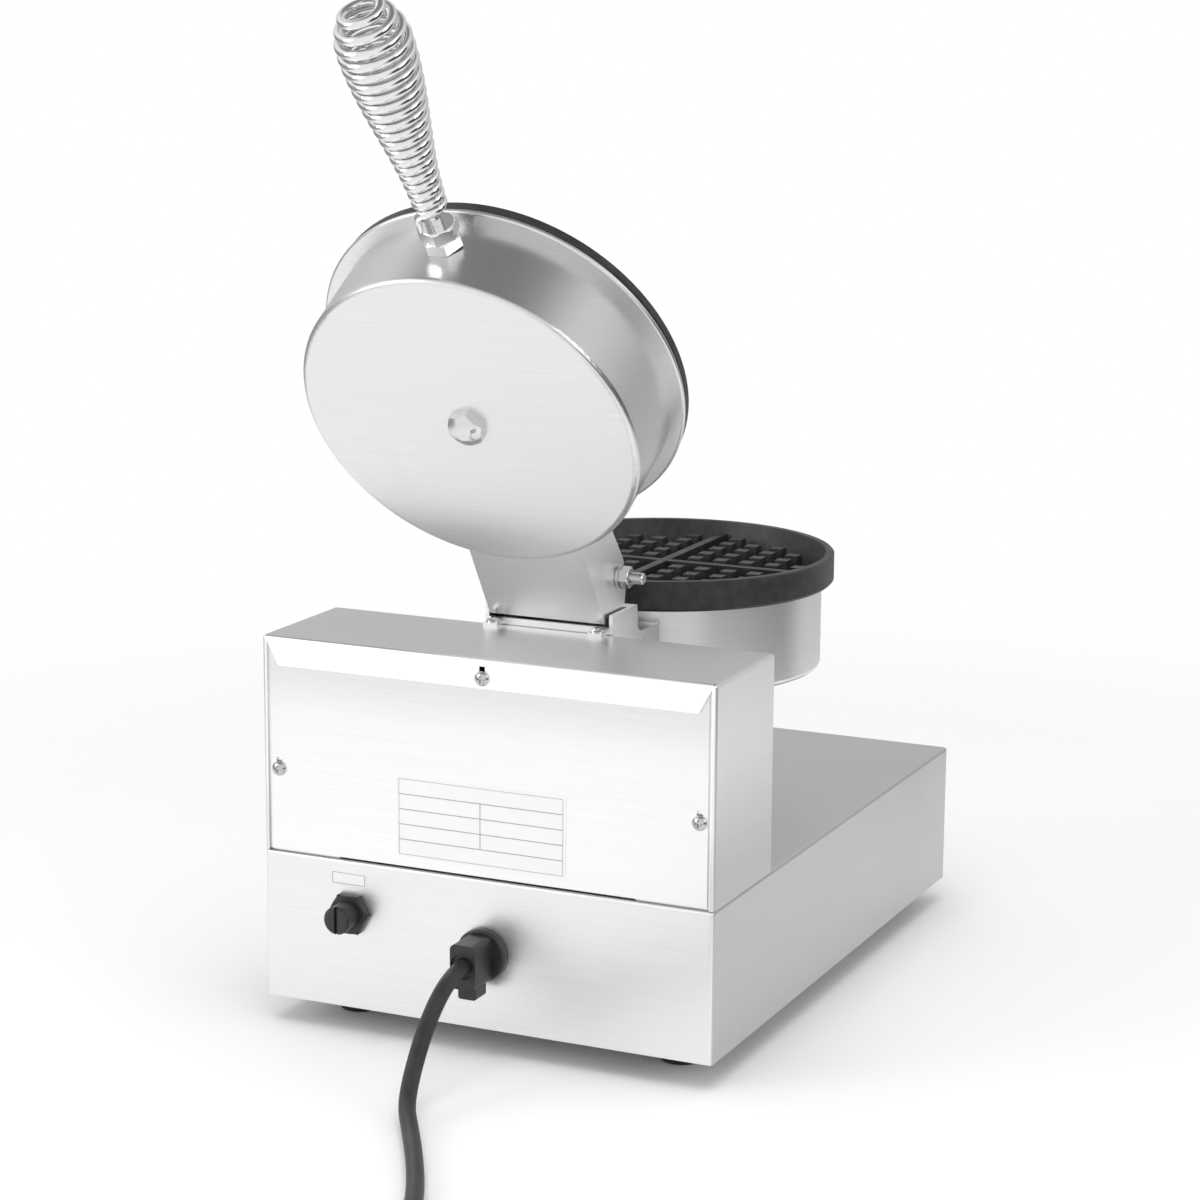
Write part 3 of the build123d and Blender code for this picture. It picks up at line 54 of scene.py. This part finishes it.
# Base and tower: a folded box on feet, and a folded shell that stands at its rear, both bent
# from brushed stainless sheet. The grain lies along each panel, so panels that face different
# ways shine a little differently. Each facing also has a painted grey for how light falls on
# it, and the tower's sides have painted shade low down and painted light towards their top.
def shader_nodes(name):
    """New material with its node tree and its principled shader."""
    material = bpy.data.materials.new(name)
    material.use_nodes = True
    tree = material.node_tree
    return material, tree, tree.nodes["Principled BSDF"]


def dress(piece, material):
    """Give a piece this material and no other."""
    piece.data.materials.clear()
    piece.data.materials.append(material)


def speckle(tree, coordinates, scale, detail, roughness=0.5):
    """Noise over these coordinates, as a value."""
    noise = tree.nodes.new("ShaderNodeTexNoise")
    noise.inputs["Scale"].default_value = scale
    noise.inputs["Detail"].default_value = detail
    noise.inputs["Roughness"].default_value = roughness
    tree.links.new(coordinates, noise.inputs["Vector"])
    return noise.outputs["Fac"]


def remap(tree, value, low, high, low_result, high_result, smooth=False):
    """Turn the span from low to high of a value into another span."""
    span = tree.nodes.new("ShaderNodeMapRange")
    if smooth:
        span.interpolation_type = "SMOOTHSTEP"
    span.inputs["From Min"].default_value = low
    span.inputs["From Max"].default_value = high
    span.inputs["To Min"].default_value = low_result
    span.inputs["To Max"].default_value = high_result
    tree.links.new(value, span.inputs["Value"])
    return span.outputs["Result"]


def brushed_steel(name, up, side, end, roughness, tilt=0.0, turned=False, shade=None):
    """Brushed stainless steel with painted greys for faces that look up, sideways and endways.

    Each grey stands in for the light and shade that fall on faces that look that way. A turned
    piece has its brushing round its wall, which takes the side grey. A shade is two heights and
    the shares by which the grey is multiplied below the first and above the second: painted
    shade and light that change with height.
    """
    material, tree, shader = shader_nodes(name)
    shader.inputs["Metallic"].default_value = 1.0
    nodes, links = tree.nodes, tree.links
    place = nodes.new("ShaderNodeTexCoord")

    def mapped(source, scale=(1, 1, 1)):
        """These coordinates in the piece's own axes, stretched."""
        axes = nodes.new("ShaderNodeMapping")
        axes.inputs["Rotation"].default_value = (tilt, 0, 0)
        axes.inputs["Scale"].default_value = scale
        links.new(place.outputs[source], axes.inputs["Vector"])
        return axes.outputs["Vector"]

    facing = nodes.new("ShaderNodeSeparateXYZ")
    links.new(mapped("Normal"), facing.inputs["Vector"])

    def looks(axis, wall=False):
        """1 where the face looks along the axis, or, for a wall, where it looks away from it."""
        size = nodes.new("ShaderNodeMath")
        size.operation = "ABSOLUTE"
        links.new(facing.outputs[axis], size.inputs[0])
        test = nodes.new("ShaderNodeMath")
        test.operation = "LESS_THAN" if wall else "GREATER_THAN"
        test.inputs[1].default_value = 0.7
        links.new(size.outputs[0], test.inputs[0])
        return test.outputs[0]

    def product(first, second):
        """Two values multiplied and kept between 0 and 1."""
        times = nodes.new("ShaderNodeMath")
        times.operation = "MULTIPLY"
        times.use_clamp = True
        links.new(first, times.inputs[0])
        links.new(second, times.inputs[1])
        return times.outputs[0]

    sideways = looks("Z", wall=True) if turned else looks("X")
    across, along, around = 2200, 8, 6
    grain = nodes.new("ShaderNodeMix")
    grain.data_type = "VECTOR"
    links.new(sideways, grain.inputs["Factor"])
    links.new(mapped("Object", (along, across, across)), grain.inputs[4])
    side_grain = (around, around, across) if turned else (across, along, across)
    links.new(mapped("Object", side_grain), grain.inputs[5])
    lines = speckle(tree, grain.outputs[1], 1.0, 5, 0.6)

    # Painted light and shade: the base colour is a grey picked by whether the face looks up, sideways or
    # endways.
    flat = nodes.new("ShaderNodeMix")
    flat.inputs[2].default_value = up
    flat.inputs[3].default_value = end
    links.new(looks("Y"), flat.inputs["Factor"])
    grey = nodes.new("ShaderNodeMix")
    grey.inputs[3].default_value = side
    links.new(sideways, grey.inputs["Factor"])
    links.new(flat.outputs[0], grey.inputs[2])
    tone = product(grey.outputs[0], remap(tree, lines, 0.25, 0.75, 0.955, 1.045))
    # Painted shade and light: the grey is multiplied by a share that changes with height.
    if shade:
        height = nodes.new("ShaderNodeSeparateXYZ")
        links.new(place.outputs["Object"], height.inputs["Vector"])
        tone = product(tone, remap(tree, height.outputs["Z"], *shade, smooth=True))
    colour = nodes.new("ShaderNodeCombineColor")
    for channel in ("Red", "Green", "Blue"):
        links.new(tone, colour.inputs[channel])
    links.new(colour.outputs["Color"], shader.inputs["Base Color"])

    smears = speckle(tree, place.outputs["Object"], 9, 3)
    links.new(remap(tree, smears, 0, 1, roughness - 0.06, roughness + 0.10), shader.inputs["Roughness"])
    bump = nodes.new("ShaderNodeBump")
    bump.inputs["Strength"].default_value = 0.25
    bump.inputs["Distance"].default_value = 0.00008
    links.new(lines, bump.inputs["Height"])
    links.new(bump.outputs["Normal"], shader.inputs["Normal"])
    return material


base_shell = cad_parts["base_shell"]
front, rear = (round(limit(corner.co.y for corner in base_shell.data.vertices), 6) for limit in (min, max))
# Painted light: each steel piece below gets greys of its own, lit and shaded copies of one steel set to how
# bright each piece looks under this light.
base_steel = brushed_steel("base_steel", 0.63, 0.54, 0.84, 0.30)
dress(base_shell, base_steel)
dress(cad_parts["bottom_plate"], base_steel)
# Painted shade and light: the tower is painted darker below 0.10 m and lighter above 0.19 m, for how light
# falls on its sides.
tower_steel = brushed_steel("tower_steel", 0.50, 0.62, 0.99, 0.30, shade=(0.10, 0.19, 0.83, 1.40))
dress(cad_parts["tower_shell"], tower_steel)

# Rear cover: a flat sheet hung on three screws under the tower's folded edge.
# It is painted a shade darker close under that edge, a painted shadow of the fold, and its
# greys are painted lighter than the base's for the light that falls on it.
cover_steel = brushed_steel("cover_steel", 0.90, 0.90, 0.93, 0.30, shade=(0.160, 0.191, 1.0, 0.86))
dress(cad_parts["rear_cover"], cover_steel)

# Neck and lower drum: a folded channel screwed to the tower's top carries a spun steel cup
# that floats over the base, brushed round its wall. The batter plate drops into its open top.
# Painted light: the neck and the lower cup have greys of their own for how light falls on them.
dress(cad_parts["neck"], brushed_steel("neck_steel", 0.95, 0.88, 0.90, 0.26))
dress(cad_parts["lower_drum"], brushed_steel("lower_drum_steel", 0.80, 0.82, 0.80, 0.28, turned=True))

# Lid: the same spun cup turned over, on a folded arm that swings on the hinge bolt.
# Its grain lies along the closed lid's own axes, so the pattern is turned with it.
open_swing = math.radians(122.1)
# Painted light: the lid cup and its arm have greys of their own, the cup's darker on its wall, for how light
# falls on them.
dress(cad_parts["lid_drum"],
      brushed_steel("lid_steel", 0.78, 0.66, 0.78, 0.28, tilt=open_swing, turned=True))
dress(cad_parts["lid_arm"], brushed_steel("arm_steel", 0.95, 0.95, 0.95, 0.3, tilt=open_swing))


# Waffle plates: cast iron, black and seasoned, with the fine sand texture of the mould
# and a dull sheen where batter has baked on.
def fine_grain(name, colour, roughness, scale, strength, spread=0.25):
    """Cast or moulded finish: a base colour with a faint mottle and a fine pebbled bump."""
    material, tree, shader = shader_nodes(name)
    shader.inputs["Roughness"].default_value = roughness
    place = tree.nodes.new("ShaderNodeTexCoord")
    mottle_scale = scale * 0.12
    ramp = tree.nodes.new("ShaderNodeValToRGB")
    for stop, position, share in zip(ramp.color_ramp.elements, (0.35, 0.65), (1 - spread, 1 + spread)):
        stop.position = position
        stop.color = [min(1, channel * share) for channel in colour] + [1]
    tree.links.new(speckle(tree, place.outputs["Object"], mottle_scale, 3), ramp.inputs["Fac"])
    tree.links.new(ramp.outputs["Color"], shader.inputs["Base Color"])
    bump = tree.nodes.new("ShaderNodeBump")
    bump.inputs["Strength"].default_value = strength
    bump.inputs["Distance"].default_value = 0.0003
    tree.links.new(speckle(tree, place.outputs["Object"], scale, 2), bump.inputs["Height"])
    tree.links.new(bump.outputs["Normal"], shader.inputs["Normal"])
    return material


iron = fine_grain("seasoned_iron", (0.020, 0.020, 0.021), 0.42, 1400, 0.6, 0.35)
tree = iron.node_tree
baked_on = speckle(tree, tree.nodes.new("ShaderNodeTexCoord").outputs["Object"], 60, 4)
tree.links.new(remap(tree, baked_on, 0, 1, 0.34, 0.56), tree.nodes["Principled BSDF"].inputs["Roughness"])
dress(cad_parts["lower_plate"], iron)
dress(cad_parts["upper_plate"], iron)


# Plated metal: the coil grip is a polished chrome wire that stays cool in the hand, and its stud
# and lock nuts have the same plating. Other screws, nuts and inner brackets are zinc plated, the
# bolt through the lid is polished, the heaters' sheaths are dull and the plug's pins brass.
def plated(name, tone, low, high, scale):
    """Plated or turned metal whose roughness wanders between two values."""
    material, tree, shader = shader_nodes(name)
    shader.inputs["Metallic"].default_value = 1.0
    shader.inputs["Base Color"].default_value = (*tone, 1)
    place = tree.nodes.new("ShaderNodeTexCoord")
    film = speckle(tree, place.outputs["Object"], scale, 3)
    tree.links.new(remap(tree, film, 0, 1, low, high), shader.inputs["Roughness"])
    return material


chrome = plated("polished_chrome", (0.82, 0.82, 0.83), 0.04, 0.10, 300)
for name in ("handle_coil", "handle_nuts", "handle_stud"):
    dress(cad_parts[name], chrome)
zinc = plated("zinc_plated_steel", (0.56, 0.56, 0.57), 0.16, 0.28, 500)
for name in ("bottom_screws", "inner_screws", "rear_cover_screws", "neck_screws", "arm_screws", "hinge_bolt",
             "hinge_nut", "control_nuts", "lower_centre_bolt", "thermostat_shaft",
             "timer_shaft", "reset_button", "hinge_bracket", "hinge_bush", "drum_saddle",
             "lower_clamp_disc", "upper_clamp_disc"):
    dress(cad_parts[name], zinc)
dress(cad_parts["upper_centre_bolt"], plated("polished_bolt", (0.72, 0.72, 0.72), 0.10, 0.15, 300))
heater_steel = plated("heater_sheath", (0.36, 0.35, 0.34), 0.4, 0.6, 200)
dress(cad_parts["lower_heater"], heater_steel)
dress(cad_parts["upper_heater"], heater_steel)
dress(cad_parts["plug_pins"], plated("plug_brass", (0.74, 0.60, 0.33), 0.15, 0.28, 300))

# Moulded pieces: knobs, switch, gland and reset unit are black plastic; the feet and plug are
# rubber. Terminal block, leads and insulation stay out of sight inside.
black_plastic = fine_grain("black_moulding", (0.020, 0.020, 0.021), 0.42, 1500, 0.4)
for name in ("thermostat_body", "timer_body", "thermostat_knob", "timer_knob", "switch_body", "power_rocker",
             "cable_gland", "gland_nut", "reset_body", "reset_cap", "lamp_holders", "reset_nut"):
    dress(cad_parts[name], black_plastic)
dress(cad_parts["rubber_feet"], fine_grain("foot_rubber", (0.015, 0.015, 0.015), 0.6, 1200, 0.5))
dress(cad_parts["plug_body"], fine_grain("plug_rubber", (0.022, 0.022, 0.023), 0.48, 1200, 0.5))
dress(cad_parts["terminal_block"], fine_grain("pale_moulding", (0.74, 0.72, 0.66), 0.4, 900, 0.3, 0.05))
lead_sleeve = fine_grain("lead_sleeve", (0.30, 0.28, 0.25), 0.6, 800, 0.4)
dress(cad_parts["inner_leads"], lead_sleeve)
dress(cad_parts["lid_lead"], lead_sleeve)
wool = fine_grain("mineral_wool", (0.66, 0.62, 0.52), 0.9, 500, 1.0, 0.2)
dress(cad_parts["lower_insulation"], wool)
dress(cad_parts["upper_insulation"], wool)

# Power cord: black rubber-sheathed mains lead, clamped in the gland, hanging down to the floor.
# It runs away behind the machine and the rest of it is wound in a neat two-layer coil.
cord_radius = 0.00425
gland_height = 0.0539
drop = gland_height - cord_radius
cord_points = [
    (x, rear + out, cord_radius + drop * share) for x, out, share in (
        (-0.001, 0.012, 1), (-0.001, 0.0255, 1), (-0.0011, 0.0385, 0.952), (-0.0012, 0.0515, 0.821),
        (-0.001, 0.063, 0.615), (-0.0015, 0.0735, 0.388), (-0.0035, 0.0845, 0.188), (-0.009, 0.0985, 0.055),
        (-0.019, 0.1135, 0), (-0.036, 0.1415, 0), (-0.051, 0.1681, 0), (-0.062, 0.1905, 0),
        (-0.072, 0.2145, 0), (-0.080, 0.2355, 0), (-0.0835, 0.2485, 0), (-0.0832, 0.260, 0))]
coil_x, coil_y = -0.1437, rear + 0.2685
coil_radius, coil_pitch = 0.0607, 0.0091
corner_swell = 1.01  # the smooth line cuts inside its corner points by a hundredth
turns, points_per_turn = 4.25, 16
for step in range(int(turns * points_per_turn) + 1):
    turn = step / points_per_turn
    radius = (coil_radius - coil_pitch * min(turn, turns - turn)) * corner_swell
    climb = min(max((turn - turns / 2) / 0.5 + 0.5, 0), 1)
    cord_points.append((coil_x + radius * math.cos(2 * math.pi * turn),
                        coil_y + radius * math.sin(2 * math.pi * turn),
                        cord_radius + coil_pitch * (0.5 - 0.5 * math.cos(math.pi * climb))))
coil_end = cord_points[-1]
tail_slope = 0.0239
for along, rise in ((0.0085, 0), (0.0175, 0), (0.0295, 0.0016), (0.0415, 0.0042), (0.0535, 0.00525),
                    (0.066, 0.00525)):
    cord_points.append((coil_end[0] - along, coil_end[1] + along * tail_slope, coil_end[2] + rise))
cord_curve = bpy.data.curves.new("power_cord_line", "CURVE")
cord_curve.dimensions = "3D"
cord_spline = cord_curve.splines.new("NURBS")
cord_spline.points.add(len(cord_points) - 1)
for point, place in zip(cord_spline.points, cord_points):
    point.co = (*place, 1)
cord_spline.order_u = 3
cord_spline.use_endpoint_u = True
cord_curve.resolution_u = 8
cord_curve.bevel_depth = cord_radius
cord_curve.bevel_resolution = 5
cord_curve.use_fill_caps = True
cord = bpy.data.objects.new("mains_cord", cord_curve)
bpy.context.scene.collection.objects.link(cord)
cord_curve.materials.append(fine_grain("cord_rubber", (0.022, 0.022, 0.023), 0.52, 900, 0.5))
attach(cord, "machine")
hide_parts("power_cord", "cord_coil", "cord_tail")

# Blank plates: a white foil plate on the cover and a small tag over the reset cap, both with
# the thin raised lines of their empty cells.
dress(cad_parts["blank_plates"], fine_grain("white_foil", (0.93, 0.93, 0.93), 0.45, 700, 0.1, 0.01))
grey_foil = fine_grain("grey_foil", (0.30, 0.30, 0.30), 0.45, 700, 0.1, 0.01)
line_rise = 0.00012
for name, columns, rows, width, height, line, place in (
        ("plate_lines", 2, 5, 0.0913, 0.0393, 0.00016, (0.00165, rear - 0.0008, 0.11906)),
        ("tag_lines", 1, 1, 0.0188, 0.0058, 0.00022, (0.076, rear + 0.0003, 0.0825))):
    bpy.ops.object.select_all(action="DESELECT")
    bpy.ops.mesh.primitive_grid_add(x_subdivisions=columns, y_subdivisions=rows, size=1)
    cells = bpy.context.object
    cells.name = name
    cells.scale = (width, height, 1)
    bpy.ops.object.transform_apply(location=False, rotation=False, scale=True)
    # The head row and the foot row of the plate are one cell wide: their middle edge goes.
    for part in (cells.data.vertices, cells.data.polygons, cells.data.edges):
        for item in part:
            item.select = False
    for edge in cells.data.edges:
        ends = [cells.data.vertices[index].co for index in edge.vertices]
        outer_row = abs(ends[0].y + ends[1].y) / 2 > height * 0.35
        edge.select = columns > 1 and max(abs(corner.x) for corner in ends) < 1e-6 and outer_row
    bpy.ops.object.mode_set(mode="EDIT")
    bpy.ops.mesh.select_mode(type="EDGE")
    bpy.ops.mesh.dissolve_edges(use_verts=True)
    bpy.ops.mesh.select_mode(type="FACE")
    bpy.ops.mesh.select_all(action="SELECT")
    bpy.ops.mesh.inset(thickness=line, depth=0, use_individual=True)
    bpy.ops.mesh.delete(type="FACE")
    bpy.ops.object.mode_set(mode="OBJECT")
    raised = cells.modifiers.new("raised", "SOLIDIFY")
    raised.thickness = line_rise
    raised.offset = 1
    bpy.ops.object.modifier_apply(modifier="raised")
    cells.rotation_euler = (math.radians(-90), 0, 0)
    cells.location = place
    bpy.ops.object.transform_apply(location=True, rotation=True, scale=True)
    dress(cells, grey_foil)
    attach(cells, "machine")

# Lamp lenses: two small clear domes of dyed plastic, pressed into the lamp holders.
# Red shows the mains and green shows that the plates heat.
for name, colour in (("red", (0.55, 0.02, 0.015)), ("green", (0.02, 0.35, 0.06))):
    dyed = fine_grain(name + "_lens", colour, 0.12, 600, 0.05, 0.15)
    dyed.node_tree.nodes["Principled BSDF"].inputs["Transmission Weight"].default_value = 0.4
    dress(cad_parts[name + "_lamp_lens"], dyed)

# Front scales: the two dials' ticks and numbers and the switch's words are printed on the panel
# in thick black ink; each knob has a white line let into its top.
panel_height = 0.051
dial_spread = 0.062
letter_height = 0.0034
number_reach_x, number_reach_z = 0.0268, 0.0258
tick_start = 0.0202
knob_top = front - 0.01775
pointer_middle = 0.00798
switch_reach = 0.0192
ink = fine_grain("panel_ink", (0.02, 0.02, 0.02), 0.5, 1500, 0.2)
white_ink = fine_grain("pointer_ink", (0.85, 0.85, 0.83), 0.5, 1500, 0.2, 0.05)


def printed(name, piece, body, material):
    """Apply a print's place, give it its ink and send it with its body."""
    bpy.ops.object.transform_apply(location=True, rotation=True, scale=True)
    piece.name = name
    dress(piece, material)
    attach(piece, body)


def words(name, text, x, z):
    """Flat black lettering on the front panel, centred on a place."""
    bpy.ops.object.select_all(action="DESELECT")
    bpy.ops.object.text_add(location=(x, front, z), rotation=(math.radians(90), 0, 0))
    letters = bpy.context.object
    letters.data.body = text
    letters.data.size = letter_height * 1.4
    letters.data.align_x = "CENTER"
    letters.data.align_y = "CENTER"
    letters.data.extrude = 0.00008
    letters.data.resolution_u = 4
    bpy.ops.object.convert(target="MESH")
    printed(name, bpy.context.object, "machine", ink)


def ticks(name, centre_x, step, count, every):
    """Radial scale lines round a knob, clockwise from the top, each so many of them longer."""
    bars = []
    for index in range(count):
        turn = math.radians(step * index)
        width, length = (0.0007, 0.0030) if index % every == 0 else (0.0004, 0.0018)
        middle = tick_start + length / 2
        bpy.ops.object.select_all(action="DESELECT")
        bpy.ops.mesh.primitive_cube_add(size=1)
        bar = bpy.context.object
        bar.scale = (width, 0.00016, length)
        bar.rotation_euler = (0, turn, 0)
        bar.location = (centre_x + middle * math.sin(turn), front, panel_height + middle * math.cos(turn))
        bpy.ops.object.transform_apply(location=True, rotation=True, scale=True)
        bpy.ops.object.mode_set(mode="EDIT")
        bpy.ops.mesh.bevel(offset=0.00006, segments=1)
        bpy.ops.object.mode_set(mode="OBJECT")
        bars.append(bar)
    bpy.ops.object.select_all(action="DESELECT")
    for bar in bars:
        bar.select_set(True)
    bpy.context.view_layer.objects.active = bars[0]
    bpy.ops.object.join()
    printed(name, bpy.context.object, "machine", ink)


for dial, side, sweep, marks in (("thermostat", -1, 270, ("0", "50", "100", "150", "200", "250", "300")),
                                 ("timer", 1, 300, ("0", "1", "2", "3", "4", "5"))):
    centre_x = side * dial_spread
    gaps = len(marks) - 1
    gap = sweep / gaps
    ticks(dial + "_ticks", centre_x, gap / 5, 5 * gaps + 1, 5)
    for index, mark in enumerate(marks):
        turn = math.radians(gap * index)
        words(dial + "_mark_" + mark, mark, centre_x + number_reach_x * math.sin(turn),
              panel_height + number_reach_z * math.cos(turn))
    bpy.ops.object.select_all(action="DESELECT")
    bpy.ops.mesh.primitive_cube_add(size=1, location=(centre_x, knob_top, panel_height + pointer_middle))
    pointer = bpy.context.object
    pointer.scale = (0.0014, 0.0006, 0.0110)
    bpy.ops.object.transform_apply(location=False, rotation=False, scale=True)
    bpy.ops.object.mode_set(mode="EDIT")
    bpy.ops.mesh.bevel(offset=0.00012, segments=2)
    bpy.ops.object.mode_set(mode="OBJECT")
    printed(dial + "_pointer", pointer, dial + "_dial", white_ink)
words("switch_on", "ON", 0, panel_height + switch_reach)
words("switch_off", "OFF", 0, panel_height - switch_reach)

# Floor: a plain white studio surface under the machine that keeps its soft shadow and fades out
# into the white surround.
bpy.ops.object.select_all(action="DESELECT")
bpy.ops.mesh.primitive_circle_add(vertices=96, radius=2.0, fill_type="NGON", location=(0, 0, -0.0004))
floor = bpy.context.object
floor.name = "studio_floor"
material, tree, shader = shader_nodes("studio_floor")
shader.inputs["Base Color"].default_value = (0.9, 0.9, 0.9, 1)
shader.inputs["Roughness"].default_value = 0.7
shader.inputs["Specular IOR Level"].default_value = 0.1
place = tree.nodes.new("ShaderNodeTexCoord")
centre = tree.nodes.new("ShaderNodeMapping")
centre.inputs["Location"].default_value = (0.02, 0.05, 0)
distance = tree.nodes.new("ShaderNodeVectorMath")
distance.operation = "LENGTH"
tree.links.new(place.outputs["Object"], centre.inputs["Vector"])
tree.links.new(centre.outputs["Vector"], distance.inputs[0])
fade = remap(tree, distance.outputs["Value"], 0.42, 1.0, 1.0, 0.0, smooth=True)
tree.links.new(fade, shader.inputs["Alpha"])
dress(floor, material)

# Studio light: a broad soft lamp over the machine, one behind it by the camera's left and a weak
# one on the other side. The surround is white to the eye and shaded for the metal's reflections,
# in which the lamp over the machine isn't seen.
for name, place, aim, power, wide, in_metal in (
        ("over", (-0.2, 0.5, 2.0), (0, 0, 0.2), 20, 1.6, False),
        ("left", (1.7, 1.6, 1.0), (0, 0.1, 0.2), 12, 1.1, True),
        ("right", (-2.2, 0.6, 1.0), (0, 0, 0.2), 6, 1.0, True)):
    bpy.ops.object.light_add(type="AREA", location=place)
    lamp = bpy.context.object
    lamp.name = "lamp_" + name
    lamp.data.energy = power
    lamp.data.size = wide
    lamp.visible_glossy = in_metal
    lamp.rotation_euler = (Vector(aim) - Vector(place)).to_track_quat("-Z", "Y").to_euler()
world = bpy.data.worlds.new("studio")
bpy.context.scene.world = world
world.use_nodes = True
tree = world.node_tree
nodes, links = tree.nodes, tree.links
nodes.remove(nodes["Background"])
rays = nodes.new("ShaderNodeLightPath")


def worked(operation, *terms):
    """Sum done on numbers and other nodes' values."""
    step = nodes.new("ShaderNodeMath")
    step.operation = operation
    for socket, term in zip(step.inputs, terms):
        if isinstance(term, (int, float)):
            socket.default_value = term
        else:
            links.new(term, socket)
    return step.outputs[0]


def white_light(strength):
    """White background of this strength, a number or another node's value."""
    light = nodes.new("ShaderNodeBackground")
    light.inputs["Color"].default_value = (1, 1, 1, 1)
    if isinstance(strength, float):
        light.inputs["Strength"].default_value = strength
    else:
        links.new(strength, light.inputs["Strength"])
    return light.outputs[0]


def where(ray, yes, no):
    """One light for this kind of ray and another for the rest."""
    split_rays = nodes.new("ShaderNodeMixShader")
    links.new(rays.outputs[ray], split_rays.inputs["Fac"])
    links.new(no, split_rays.inputs[1])
    links.new(yes, split_rays.inputs[2])
    return split_rays.outputs[0]


direction = nodes.new("ShaderNodeSeparateXYZ")
links.new(nodes.new("ShaderNodeTexCoord").outputs["Generated"], direction.inputs["Vector"])
upward = worked("MAXIMUM", direction.outputs["Z"], 0.0)
rearward = worked("MULTIPLY_ADD", upward, 0.8, direction.outputs["Y"])
shade = remap(tree, rearward, -0.95, 0.45, 0.58, 0.98, smooth=True)
for side, edge, full, left in ((-1, 0.60, 0.84, 0.08), (1, 0.66, 0.92, 0.40)):
    sideways = worked("SUBTRACT", worked("MULTIPLY", direction.outputs["X"], side), upward)
    shade = worked("MULTIPLY", shade, remap(tree, sideways, edge, full, 1.0, left, smooth=True))
ceiling = remap(tree, direction.outputs["Z"], 0.60, 0.95, 1.0, 0.25, smooth=True)
shade = worked("MULTIPLY", shade, ceiling)
lit = where("Is Glossy Ray", white_light(shade), white_light(0.7))
links.new(where("Is Camera Ray", white_light(1.0), lit), nodes["World Output"].inputs["Surface"])
